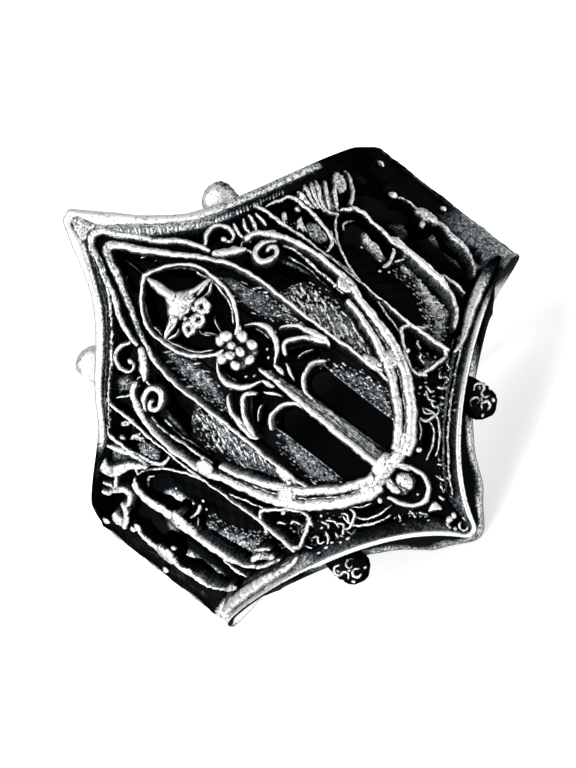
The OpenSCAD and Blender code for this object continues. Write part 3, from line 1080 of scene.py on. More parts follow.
def ogive_mouldings(metal):
    """Pointed arch over the head: a smooth outer moulding and a broader inner one."""
    metal.bars(on_face, (
        (11.9, (0.26, 0.2, 0.19, 0.17, 0.14), 0.32, "",
         ((0, 11.95), (0.5, 11.56), (0.97, 10.71), (1.41, 9.87), (1.88, 8.95), (2.5, 8.1), (2.88, 7.3),
          (3.04, 6.5))),
        (11.8, (0.26, 0.2, 0.15, 0.12, 0.12, 0.12, 0.11), 0.28, "",
         ((0, 10.98), (0.4, 10.5), (0.94, 9.45), (1.45, 8.52), (1.98, 7.62), (2.53, 6.68), (2.95, 5.85),
          (3.22, 5.08), (3.4, 4.21), (3.46, 3.2), (3.44, 1.48), (3.44, 0.24), (3.46, -1), (3.52, -2.5),
          (3.5, -4.2), (3.4, -5.5))),
        (11.5, 0.06, 0.1, ((0.95, 9.05), (1.5, 8.15), (2.0, 7.3), (2.35, 6.7))),
        (11.3, 0.07, 0.12, ((0.5, 9.85), (0.75, 9.62))),
        (11.3, 0.07, 0.12, ((0.55, 9.25), (0.9, 9.0))),
        (11.3, 0.08, 0.12, ((0.85, 8.55), (1.2, 8.35))),
    ))


def gable_cap(metal):
    """Solid metal of the upper tip, above the pointed arch."""
    metal.mound(on_face, (
        (0, 13.35), (0.36, 13.0), (0.62, 12.5), (0.72, 12.1), (0.35, 11.95), (0, 12.1), (-0.35, 11.95),
        (-0.72, 12.1), (-0.62, 12.5), (-0.36, 13.0),
    ), 11.95, 0.42, 0.04)


def rose_window(metal):
    """Thin rim of the rose, doubled in its lower half."""
    rim = (
        (0, 8.46), (0.82, 7.96), (1.62, 7.29), (2.05, 6.5), (2.14, 5.69), (2.09, 4.93),
        (1.88, 4.11), (1.54, 3.55), (1.03, 3.01), (0.5, 2.68),
    )
    metal.bars(on_face, (
        (11.85, (0.12, 0.1, 0.1, 0.12, 0.13, 0.1), 0.22, "", rim),
        (11.5, (0.05, 0.07, 0.06), 0.14, beside([p for p in rim if 2.8 < p[1] < 6.6], 0.25)),
    ))


def bud(metal, x, z, size, radius):
    """Round bud: a lumpy ring of petals about a deep pit."""
    turns = np.radians(np.arange(0, 360, 40))
    ring = np.column_stack([x + 0.62 * size * np.cos(turns), z + 0.62 * size * np.sin(turns)])
    metal.bars(on_face, ((radius, 0.38 * size, 0.3, "", np.vstack([ring, ring[:2]])),), uneven=2.5)
    for k in range(3):
        a = math.radians(120 * k + 50 * x)
        spot = (x + 0.8 * size * math.cos(a), z + 0.8 * size * math.sin(a))
        petal = (0.42 * size, 0.34 * size, 0.5 * size)
        metal.blob(on_face([spot], radius + 0.04)[0], petal, 120 * k + 50 * x)
    metal.blob(on_face([(x, z)], radius - 0.5)[0], (0.9 * size, 0.9 * size, 0.4 * size))


def rose_boss(metal):
    """Half of the spiked boss in the rose: the strands of a side spike."""
    metal.bars(on_face, (
        ((11.8, 11.75, 11.6), (0.24, 0.16, 0.1, 0.07), (0.3, 0.2, 0.12),
         ((0.6, 6.0), (1.05, 5.86), (1.6, 5.7), (2.12, 5.6))),
        ((11.75, 11.7, 11.6), (0.08, 0.1, 0.07), 0.2, ((0.8, 5.55), (1.3, 5.6), (1.75, 5.6), (2.12, 5.58))),
        (11.6, (0.07, 0.09, 0.06), 0.18, ((0.95, 5.3), (1.35, 5.22), (1.7, 5.38), (2.1, 5.56))),
        ((11.4, 11.0), (0.05, 0.07, 0.05), 0.2, ((0.45, 4.2), (0.27, 3.85), (0.08, 3.45))),
    ), ROOF)


def rose_boss_middle(metal):
    """Middle of the boss: its body, the broad spire, three buds and a bead."""
    metal.mound(on_face, (
        (-0.02, 7.2), (0.42, 6.6), (0.98, 6.05), (0.85, 5.5), (0.4, 5.3), (-0.11, 5.25), (-0.7, 5.4),
        (-1.0, 6.1), (-0.47, 6.68),
    ), 11.3, 0.8, 0.05)
    metal.bars(on_face, (
        ((11.9, 11.9, 11.8), (0.4, 0.3, 0.26, 0.22, 0.1), (0.3, 0.28, 0.2),
         ((-0.02, 6.3), (-0.02, 6.9), (0, 7.4), (0, 7.8), (-0.04, 8.25))),
    ), ROOF)
    metal.bars(on_face, (
        (11.4, 0.05, 0.16, ((0.1, 5.0), (-0.55, 4.35), (-0.35, 3.8))),
        (12.0, (0.07, 0.1, 0.07), 0.14, ((-0.35, 5.55), (-0.1, 5.42), (0.2, 5.5))),
        (12.0, (0.07, 0.1, 0.07), 0.14, ((0.35, 5.9), (0.5, 5.62), (0.75, 5.55))),
    ))
    for x, z, size, radius in ((0.57, 5.0, 0.44, 12.0), (-0.09, 4.75, 0.4, 11.95), (-0.72, 4.8, 0.4, 12.0)):
        bud(metal, x, z, size, radius)
    metal.beads(on_face, ((12.0, -0.87, 5.72, 0.22), (11.9, -0.45, 5.3, 0.14), (11.95, 0.25, 5.3, 0.14)))


def bead_rosette(metal):
    """Clustered beads below the rose, of uneven sizes."""
    metal.mound(on_face, (
        (0, 3.2), (0.75, 2.6), (0.75, 1.5), (0, 1.15), (-0.9, 1.5), (-1.0, 2.6),
    ), 11.2, 0.45, 0.03)
    metal.beads(on_face, (
        (11.9, 0.12, 3.05, 0.36), (11.9, -0.25, 3.16, 0.3), (11.9, 0.62, 2.38, 0.35),
        (11.9, 0.6, 1.7, 0.31), (12.0, -0.05, 1.95, 0.29), (11.95, -0.07, 2.5, 0.26),
        (11.85, -0.08, 1.33, 0.3), (11.85, -0.76, 1.74, 0.3), (11.85, -0.9, 2.5, 0.32),
        (11.95, -0.52, 2.26, 0.28),
    ))


def cusped_round(metal):
    """Beaded arcs of the round hollow under the rose and the arms that hold the rosette."""
    metal.bars(on_face, (
        (11.75, (0.06, 0.09, 0.18, 0.2, 0.18, 0.1, 0.08), 0.24,
         ((1.12, 2.65), (1.5, 2.36), (1.74, 1.95), (1.76, 1.55), (1.62, 1.1), (1.4, 0.68), (1.05, 0.42),
          (0.45, 0.1))),
        (11.75, 0.17, 0.22, ((1.0, 2.98), (0.75, 2.7), (0.62, 2.4))),
        (11.3, 0.06, 0.12, ((1.3, 2.2), (1.45, 1.8), (1.4, 1.3))),
    ))
    metal.beads(on_face, (
        (11.45, 0.9, 1.0, 0.09), (11.5, 0.6, 0.66, 0.1), (11.65, 1.85, 1.75, 0.1), (11.65, 1.85, 1.2, 0.1),
    ))


def lancet_tracery(metal):
    """Arches over the pierced lancets: two strands that run into a horn, and a plain arch below."""
    metal.bars(on_face, (
        (11.85, (0.06, 0.1, 0.16, 0.19, 0.17, 0.09), 0.28,
         ((2.1, 1.12), (2.45, 0.87), (2.8, 0.52), (2.92, -0.03), (3.05, -0.66), (3.14, -1.16),
          (3.02, -1.56))),
        (11.8, (0.13, 0.14, 0.13, 0.15, 0.17, 0.09), 0.26,
         ((1.2, -0.05), (1.67, 0.4), (2.22, 0.14), (2.65, -0.31), (2.87, -0.83), (3.0, -1.35))),
        (11.75, (0.09, 0.12, 0.11, 0.12, 0.1), 0.22,
         ((2.27, -1.85), (1.88, -1.42), (1.47, -1.32), (1.01, -1.4), (0.65, -1.64), (0.38, -2.09),
          (0.3, -2.6))),
        (12.0, (0.08, 0.14, 0.08), 0.18, ((0.5, 0.18), (0.48, -0.15), (0.38, -0.6))),
        (11.8, (0.06, 0.1, 0.06), 0.15, ((0.95, -0.25), (0.72, -0.7), (0.5, -1.2))),
        (11.4, 0.06, 0.1, ((1.5, -0.55), (1.95, -0.6), (2.35, -0.95))),
    ))


def column(metal):
    """Clustered column between the lancets: shaft, ridge, leafed head and broad foot."""
    metal.bars(on_face, (
        (11.45, (0.2, 0.28, 0.36, 0.42, 0.45, 0.47, 0.48, 0.5), 0.26,
         ((0, 0.3), (0, -1.2), (0, -2.5), (-0.02, -4), (-0.04, -5.5), (-0.06, -7), (-0.1, -7.9))),
        (11.9, (0.1, 0.17, 0.2, 0.21, 0.24), 0.28, "start",
         ((-0.08, 0.4), (-0.15, -1.2), (-0.22, -3.4), (-0.27, -5.4), (-0.28, -7.8))),
        (11.7, (0.05, 0.07, 0.07, 0.06), 0.16, "start",
         ((0.1, -1.0), (0.12, -3.4), (0.1, -5.4), (0.08, -7.6))),
        (12.0, (0.07, 0.15, 0.08), 0.22, ((-0.12, 0.7), (-0.15, -0.1), (0.02, -0.75))),
        (12.0, (0.06, 0.12, 0.06), 0.2, ((-0.52, 0.15), (-0.47, -0.13), (-0.38, -0.6))),
    ))
    metal.mound(on_face, (
        (-0.62, -7.2), (0.4, -7.2), (0.6, -7.7), (0.5, -8.2), (-0.75, -8.2), (-0.85, -7.7),
    ), 11.95, 0.32)


def shield_frame(metal):
    """Frame of the shield: outer and inner lines, collars, the curled head and a blunt free end."""
    metal.bars(on_face, (
        (12.15, (0.17, 0.18, 0.15, 0.14, 0.15, 0.17), 0.3, "start",
         ((4.6, 5.4), (5.02, 5.38), (5.42, 5.04), (5.68, 4.6), (5.9, 4.06), (6.14, 3.26), (6.24, 2.4),
          (6.27, 1.32), (6.22, 0.4), (6.12, -0.3))),
        (12.12, (0.22, 0.23, 0.28, 0.31, 0.31, 0.34), 0.32, "",
         ((6.1, -0.4), (5.76, -1.4), (5.42, -2.85), (5.04, -4.1), (4.38, -5.38), (3.54, -6.45),
          (2.59, -7.36), (1.81, -7.9), (1.0, -8.2))),
        (11.7, (0.08, 0.1, 0.09, 0.1), 0.2,
         ((5.56, 3.9), (5.74, 3.2), (5.68, 1.63), (5.62, 0.77), (5.52, -0.3))),
        (12.05, (0.15, 0.19, 0.24, 0.25, 0.25, 0.27), 0.28, "",
         ((5.42, -0.7), (4.94, -2.5), (4.38, -3.84), (3.88, -4.86), (3.13, -5.83), (2.42, -6.6),
          (1.7, -7.2), (0.9, -7.6))),
        ((11.9, 12.0, 12.1, 12.1, 12.0), (0.12, 0.17, 0.18, 0.17, 0.16, 0.15, 0.13), 0.28,
         ((5.56, 4.15), (5.17, 4.56), (4.73, 4.73), (4.34, 4.57), (4.24, 4.2), (4.52, 3.84), (4.95, 3.7),
          (5.28, 3.88), (5.1, 4.2), (4.78, 4.18))),
        (12.0, (0.14, 0.25, 0.23, 0.1), 0.3, ((3.02, 6.35), (3.5, 5.86), (3.95, 5.45), (4.3, 5.05))),
        (11.9, 0.07, 0.18,
         ((5.66, -0.9), (5.24, -2.4), (4.78, -3.8), (4.15, -5.05), (3.35, -6.13), (2.55, -6.92),
          (1.8, -7.52))),
        (11.8, 0.07, 0.14, ((4.2, 5.25), (4.3, 4.9), (4.15, 4.5))),
        (11.75, (0.04, 0.07, 0.05, 0.08, 0.04), 0.14,
         ((6.5, 2.4), (6.6, 1.4), (6.62, 0.4), (6.5, -0.7), (6.28, -1.8), (5.98, -3.0), (5.55, -4.3))),
        (11.5, (0.06, 0.05), 0.12, ((5.3, 3.3), (5.42, 2.2), (5.35, 1.0), (5.2, 0))),
    ))
    metal.mound(on_face, (
        (3.45, -3.3), (3.8, -3.1), (4.05, -3.8), (3.95, -4.4), (3.62, -4.6), (3.38, -4.0),
    ), 11.75, 0.36)
    metal.mound(on_face, (
        (6.0, 0.5), (6.38, 0.4), (6.42, -0.15), (6.2, -0.66), (5.72, -0.5), (5.62, 0.1),
    ), 12.05, 0.34)
    metal.mound(on_face, (
        (4.2, -4.15), (4.72, -3.95), (5.12, -4.45), (4.9, -4.95), (4.25, -5.0), (3.8, -4.5),
    ), 12.05, 0.34)
    metal.beads(on_face, (
        (12.2, 5.65, 0.3, 0.12), (12.25, 3.85, -4.2, 0.14), (12.2, 5.3, -4.85, 0.13),
        (12.1, 1.65, -8.6, 0.16),
    ))


def shield_foot(metal):
    """Broad foot of the shield where the two sides meet."""
    metal.bars(on_face, (
        (12.0, (0.32, 0.4), 0.34, "", ((1.9, -7.6), (1.2, -7.9), (0.6, -7.92), (0, -7.9))),
    ))


def drop_finial(metal):
    """Drop at the shield's foot with a petalled bud, and the leaf and beads down to the lower tip."""
    metal.bars(on_face, (
        (12.1, (0.12, 0.14, 0.14, 0.16, 0.14, 0.14, 0.12), 0.26, "",
         ((0.66, -8.75), (0.74, -9.1), (0.76, -9.5), (0.58, -10.0), (0.21, -10.38), (-0.24, -10.5),
          (-0.62, -10.29), (-0.95, -9.87), (-1.16, -9.36), (-1.26, -8.85))),
        (12.0, 0.08, 0.16, ((0.39, -10.85), (0.42, -11.3))),
        (12.0, 0.09, 0.16, ((-0.46, -12.0), (-0.54, -12.5))),
        (12.05, 0.08, 0.16,
         ((0.08, -12.6), (-0.12, -12.66), (-0.26, -12.9), (-0.1, -13.15), (0.08, -13.0))),
        (12.0, 0.07, 0.14, ((0.3, -12.5), (0.25, -12.9))),
    ))
    metal.mound(on_face, (
        (-0.05, -8.46), (0.34, -8.62), (0.56, -9.1), (0.36, -9.5), (-0.15, -9.6), (-0.74, -9.48),
        (-0.92, -9.0), (-0.58, -8.56),
    ), 11.5, 0.4, 0.04)
    for petal in (
        ((-0.28, -8.55), (0.12, -8.5), (0.36, -8.95), (0.2, -9.45), (-0.25, -9.6), (-0.46, -9.05)),
        ((0.12, -8.05), (0.5, -8.2), (0.74, -8.65), (0.66, -9.0), (0.42, -8.8), (0.25, -8.4)),
        ((-0.72, -8.2), (-0.38, -8.25), (-0.5, -8.8), (-0.62, -9.3), (-0.9, -9.1), (-0.95, -8.6)),
    ):
        metal.mound(on_face, petal, 11.9, 0.42, 0.06)
    metal.mound(on_face, (
        (0.1, -10.85), (0.02, -11.5), (-0.25, -11.3), (-0.62, -10.94), (-0.3, -10.8),
    ), 11.8, 0.3)
    metal.beads(on_face, (
        (12.1, -0.08, -7.9, 0.24), (12.0, 0.3, -8.1, 0.2), (11.8, -0.21, -9.95, 0.1),
        (12.05, -0.21, -12.1, 0.22), (12.05, 0.1, -12.15, 0.18), (12.0, -0.4, -12.62, 0.14),
        (12.1, -0.16, -13.35, 0.12),
    ))


def upright_bar(metal):
    """Straight bar beside the shield and the low window at its foot."""
    metal.bars(on_band, (
        (11.95, (0.13, 0.13, 0.1, 0.07, 0.06, 0.08, 0.12, 0.13), 0.24,
         ((31.8, 6.55), (32.3, 5.9), (32.4, 5.2), (32.4, 4.5), (32.9, 3.6), (33.0, 2), (32.9, 0),
          (32.6, -2), (32.3, -3.9), (32.7, -5.2), (33.0, -6.5))),
        (11.85, (0.1, 0.13, 0.12, 0.12, 0.14, 0.13), 0.22, "",
         ((32.8, -4.15), (31.3, -3.85), (29.8, -3.83), (28.2, -4.1), (26.2, -4.55), (24, -5.2),
          (22.7, -5.82), (23.3, -6.13), (26, -6.28), (29.5, -6.45), (31.8, -6.5), (32.8, -6.2))),
        (11.9, (0.16, 0.1), 0.2, ((22.9, -5.95), (24.3, -6.45))),
        (11.5, (0.06, 0.1, 0.06), 0.18, ((29.6, -5.2), (30.4, -4.9), (31.5, -4.75))),
        (11.5, (0.06, 0.1, 0.06), 0.18, ((26.8, -5.9), (27.6, -5.5), (28.9, -5.4))),
        (11.7, (0.06, 0.1, 0.06), 0.18, ((33.5, -4.2), (34.4, -4.6), (35.6, -4.6))),
    ))


# Bright roll inside the lower rim, from the foot window to the side
RIM_ROLL = (
    (33, -6.72), (37.7, -6.6), (42, -6.22), (46, -5.9), (51, -5.55), (57, -5.2), (64, -4.85), (70, -4.65),
    (76, -4.5),
)


def side_windows(metal):
    """Mullions of the side windows with their knobs, short transoms and curved feet."""
    metal.bars(on_band, (
        (12.0,
         (0.09, 0.13, 0.16, 0.12, 0.12, 0.14, 0.2, 0.22, 0.12, 0.11, 0.12, 0.12, 0.14, 0.14, 0.1), 0.3,
         ((46.4, 2.9), (48.5, 2.6), (50.25, 2.44), (50.5, 1.65), (50.0, 1.0), (49.7, 0.4), (49.2, -0.15),
          (49.8, -0.8), (50.0, -1.5), (49.8, -2.2), (49.6, -2.9), (48.7, -3.7), (47.0, -4.5),
          (44.4, -5.15), (41.0, -5.65), (39.0, -5.85))),
        ((11.9, 11.5, 11.2), (0.15, 0.12, 0.13), 0.2,
         ((49.5, -0.3), (47.8, -0.65), (45.8, -0.82), (43.7, -0.74))),
        ((11.8, 11.5), 0.08, 0.14, ((50.2, -1.1), (48.5, -1.2), (46.8, -1.0))),
        (11.85, (0.05, 0.09, 0.05), 0.16, ((51.8, -3.3), (52.4, -4.1), (51.6, -4.9))),
        ((11.9, 11.9, 12.0, 12.0, 11.85, 11.8, 11.8),
         (0.05, 0.06, 0.1, 0.17, 0.2, 0.09, 0.06, 0.07, 0.08, 0.08, 0.05), 0.26,
         ((66.2, 1.6), (67.4, 1.25), (68.4, 0.6), (68.4, 0), (68.0, -0.45), (68.9, -1.2), (68.1, -2.0),
          (67.4, -2.8), (65.7, -3.5), (63.2, -4.1), (59.4, -4.5))),
        ((11.95, 11.7), (0.24, 0.18), 0.24, ((67.8, -0.35), (66.0, -0.45), (63.8, -0.6))),
        (11.9, 0.16, 0.2, ((100.6, 2.4), (100.8, 0.6), (100.6, -0.6), (100.8, -2.2), (99.5, -3.3))),
        (11.9, 0.12, 0.18, ((99.6, -0.6), (97.4, -0.75), (95.5, -0.6))),
    ))
    metal.mound(on_band, (
        (49.0, 0.1), (50.6, -0.1), (51.0, -0.7), (50.0, -1.15), (48.7, -0.8), (48.2, -0.3),
    ), 12.0, 0.34)
    metal.mound(on_band, (
        (66.2, 0.3), (69.0, 0.2), (70.0, -0.5), (68.6, -1.1), (66.6, -1.0), (65.2, -0.4),
    ), 11.95, 0.42)
    metal.mound(on_band, (
        (100, 0.1), (101.6, 0), (101.9, -0.5), (101, -0.95), (99.8, -0.8), (99.4, -0.3),
    ), 11.9, 0.34)
    metal.beads(on_band, (
        (12.0, 66.0, 1.7, 0.26), (12.3, 76.1, -0.57, 0.24), (12.25, 74.7, 3.5, 0.24),
        (11.2, 42.5, -0.72, 0.1), (11.3, 45.0, -0.35, 0.1), (11.2, 45.2, 0.87, 0.08),
        (11.2, 44.2, -1.1, 0.09), (12.2, 50.4, -0.35, 0.16),
    ))
    metal.bars(on_band, (
        (12.05, (0.1, 0.2, 0.27, 0.32, 0.34, 0.34, 0.3, 0.16), 0.3, RIM_ROLL),
    ), uneven=0.3)


def window_heads(metal):
    """Arched lines over the side windows and the roundel beside the bar."""
    metal.bars(on_band, (
        (11.9, (0.08, 0.12, 0.13, 0.12, 0.1), 0.22,
         ((33.4, 5.9), (35.5, 5.75), (37.8, 5.53), (40.2, 5.35), (41.1, 4.84), (40.7, 4.24), (40.4, 3.57),
          (39.6, 2.92), (38.4, 2.32), (36.9, 1.95), (34.7, 1.85), (33.6, 1.9))),
        (11.7, (0.07, 0.1, 0.08), 0.16,
         ((46.7, 2.9), (43.35, 2.6), (40.1, 2.05), (37.2, 1.2), (35.2, 0.4), (34.0, -0.5))),
        (11.6, (0.05, 0.09, 0.07), 0.14, ((43.9, 2.05), (45.2, 2.3), (47.1, 2.3), (49.3, 2.1))),
        (11.7, 0.1, 0.18, ((94.2, 1.8), (96.5, 2.8), (100.5, 3.1), (104.5, 2.7), (106.6, 1.7))),
    ))


def ogive_curl(metal):
    """Curl beside the ogive, with the leaves that spring from it."""
    metal.bars(on_band, (
        ((11.9, 11.9, 11.7), (0.1, 0.13, 0.15, 0.14, 0.13, 0.12, 0.13), 0.24,
         ((15.2, 6.9), (16.3, 7.05), (18.1, 7.22), (20.2, 7.22), (22.3, 6.92), (22.8, 6.45), (22.0, 6.12),
          (20.5, 6.05), (19.4, 6.3))),
        (11.8, (0.05, 0.09), 0.14, ((20.6, 5.4), (22.2, 5.5), (23.9, 5.2))),
        (11.8, (0.05, 0.09, 0.05), 0.14, ((26.6, 4.95), (28.5, 4.9), (30.3, 4.6))),
    ))
    metal.beads(on_band, ((11.9, 19.6, 6.35, 0.17), (11.7, 39.9, 4.6, 0.2)))


def roundel_leaflets(metal):
    """Slanted leaflets in the roundel."""
    metal.bars(on_band, ((11.8, (0.09, 0.07), 0.18, ((44.3, 3.6), (45.3, 3.1), (46.6, 2.8))),))
    metal.mound(on_band, (
        (35.4, 2.6), (36.2, 3.5), (38.6, 3.75), (40.6, 3.2), (40.2, 2.5), (38.0, 2.15),
    ), 11.55, 0.3, 0.06)
    for k in range(9):
        a, z = 34.2 + 0.62 * k, 4.75 - 0.28 * k + 0.3 * math.sin(2.1 * k)
        lean = 0.3 * math.sin(1.3 * k)
        metal.bars(on_band, (
            (11.7, (0.06, 0.12, 0.06), 0.2, ((a - 0.9, z - 0.22 + lean), (a + 0.2, z), (a + 1.5, z + 0.3))),
        ))


def drop_scrolls(metal):
    """Crescent, stems, squiggles and strokes beside the drop."""
    metal.bars(on_face, (
        (11.75, (0.05, 0.09, 0.11, 0.1, 0.06), 0.18,
         ((3.48, -7.35), (3.52, -8.1), (3.02, -8.85), (2.38, -9.25), (1.85, -9.5))),
        (11.7, (0.05, 0.08, 0.07), 0.16,
         ((3.1, -7.7), (3.02, -8.35), (2.6, -8.75), (1.95, -9.05), (1.4, -9.2))),
        (11.8, (0.05, 0.1, 0.05), 0.16, ((1.08, -10.05), (1.26, -10.7))),
        (11.8, (0.05, 0.1, 0.05), 0.16, ((0.9, -10.5), (0.72, -11.05))),
        (11.8, (0.05, 0.09, 0.05), 0.16, ((1.6, -9.75), (1.85, -10.1))),
        (11.85, (0.06, 0.1, 0.08, 0.06), 0.16,
         ((4.71, -7.16), (4.85, -7.45), (5.12, -7.7), (4.93, -8.02), (4.55, -7.92), (4.4, -7.62))),
        (11.8, (0.05, 0.1, 0.06), 0.16, ((3.99, -7.4), (3.86, -7.75), (4.1, -7.95), (4.3, -8.1))),
        (11.8, (0.05, 0.09, 0.06), 0.16, ((4.15, -8.6), (3.9, -8.75), (3.99, -9.02))),
        (11.8, (0.06, 0.09), 0.14, ((5.6, -7.3), (5.45, -7.7))),
        (11.85, (0.05, 0.08, 0.05), 0.14, ((2.72, -9.85), (2.45, -10.2), (2.08, -10.5))),
        (11.75, 0.07, 0.14, ((5.5, -6.75), (5.2, -6.95), (5.4, -7.25), (5.1, -7.45))),
        (11.75, 0.07, 0.14, ((5.2, -7.8), (4.9, -7.95), (4.6, -8.35), (4.2, -8.45))),
        (11.75, 0.06, 0.14, ((3.95, -7.9), (4.0, -8.35), (3.65, -8.85))),
        (11.8, (0.05, 0.09, 0.05), 0.16, ((4.25, -6.8), (4.0, -7.3), (4.1, -7.7))),
        (11.75, (0.05, 0.08, 0.05), 0.14, ((6.1, -6.55), (5.85, -7.0), (5.95, -7.35))),
        (11.85, (0.06, 0.1, 0.06), 0.18,
         ((2.95, -7.48), (2.99, -7.86), (3.33, -8.07), (3.78, -8.11), (4.04, -7.81))),
        (11.8, (0.06, 0.09, 0.06), 0.16, ((4.3, -7.93), (4.48, -8.27), (4.31, -8.58), (3.95, -8.55))),
        (11.8, (0.06, 0.09, 0.06), 0.16, ((4.45, -6.63), (4.31, -7.09), (4.52, -7.24))),
        (11.8, (0.05, 0.09, 0.05), 0.16, ((3.5, -7.3), (3.3, -7.6), (3.55, -7.95))),
        (11.75, (0.05, 0.08, 0.05), 0.14, ((2.9, -7.5), (2.5, -8.0), (2.0, -8.3))),
    ))
    metal.beads(on_face, (
        (11.7, 5.3, -7.8, 0.09), (11.7, 4.88, -7.28, 0.1), (11.7, 5.51, -6.64, 0.1),
        (11.7, 3.64, -8.95, 0.1), (11.7, 4.66, -8.5, 0.08), (11.7, 3.0, -7.25, 0.09),
        (11.7, 2.3, -9.75, 0.1), (11.7, 1.3, -11.2, 0.09), (11.7, 3.3, -9.3, 0.09),
        (11.7, 1.9, -10.6, 0.08), (11.7, 0.6, -11.7, 0.1), (11.8, 4.2, -6.52, 0.1),
        (11.8, 4.05, -6.97, 0.09), (11.8, 3.56, -8.2, 0.09), (11.8, 2.85, -7.14, 0.1),
        (11.8, 4.76, -8.75, 0.08),
    ))


def pleated_leaf(metal):
    """Pleated leaf over the first window and the scroll stems beyond it, at the right."""
    pleats = (
        ((43.3, 5.25), (42.5, 4.8), (42.2, 4.4), (42.9, 4.0)),
        ((46.1, 5.2), (44.9, 4.8), (44.0, 4.3), (43.7, 3.8)),
        ((48.2, 5.12), (46.6, 4.7), (45.0, 4.16), (44.2, 3.6)),
        ((49.9, 5.0), (48.1, 4.6), (46.2, 4.1), (44.9, 3.4)),
        ((51.9, 4.65), (50.0, 4.35), (48.2, 3.98), (46.0, 3.35)),
        ((52.5, 4.1), (50.8, 3.8), (49.0, 3.45), (47.2, 3.0)),
    )
    metal.mound(on_band, (
        (44.2, 3.6), (43.2, 4.6), (45.5, 5.1), (49.0, 5.1), (51.6, 4.8), (52.4, 4.0), (49.5, 3.4),
        (47.2, 2.95),
    ), 11.62, 0.22, 0.03)
    rib = ((11.95, 12.05, 11.9, 11.7), (0.09, 0.14, 0.12, 0.08), 0.2)
    metal.bars(on_band, [(*rib, line) for line in pleats])
    metal.mound(on_band, (
        (53.0, 3.9), (54.8, 4.45), (57.2, 4.7), (58.6, 4.35), (57.3, 3.85), (55.2, 3.6), (53.2, 3.55),
    ), 11.8, 0.34, 0.05)
    # Leaves that spring from the curl beside the ogive
    metal.bars(on_band, (
        (11.9, (0.07, 0.12, 0.08), 0.2, ((22.9, 5.5), (23.3, 6.0), (24.6, 6.55))),
        (11.9, (0.06, 0.12, 0.07), 0.2, ((24.8, 5.35), (25.6, 5.9), (27.0, 6.35))),
        (11.9, (0.06, 0.13, 0.08), 0.22, ((26.5, 5.3), (27.8, 5.7), (28.7, 6.3))),
        (11.95, (0.06, 0.11, 0.07), 0.2, ((29.2, 5.1), (29.9, 5.6), (30.1, 6.1))),
        (11.9, (0.1, 0.16, 0.14, 0.08), 0.2,
         ((58.0, 4.75), (57.0, 4.3), (55.8, 3.8), (54.0, 3.7), (52.8, 3.95))),
        (11.9, (0.06, 0.09, 0.1, 0.1, 0.12), 0.2,
         ((61.2, 4.5), (60.6, 4.1), (59.3, 3.8), (57.2, 3.42), (55.6, 3.18), (53.6, 2.95), (51.2, 2.75))),
    ))
    metal.beads(on_band, ((11.95, 57.2, 4.45, 0.24), (11.9, 54.8, 3.9, 0.2)))


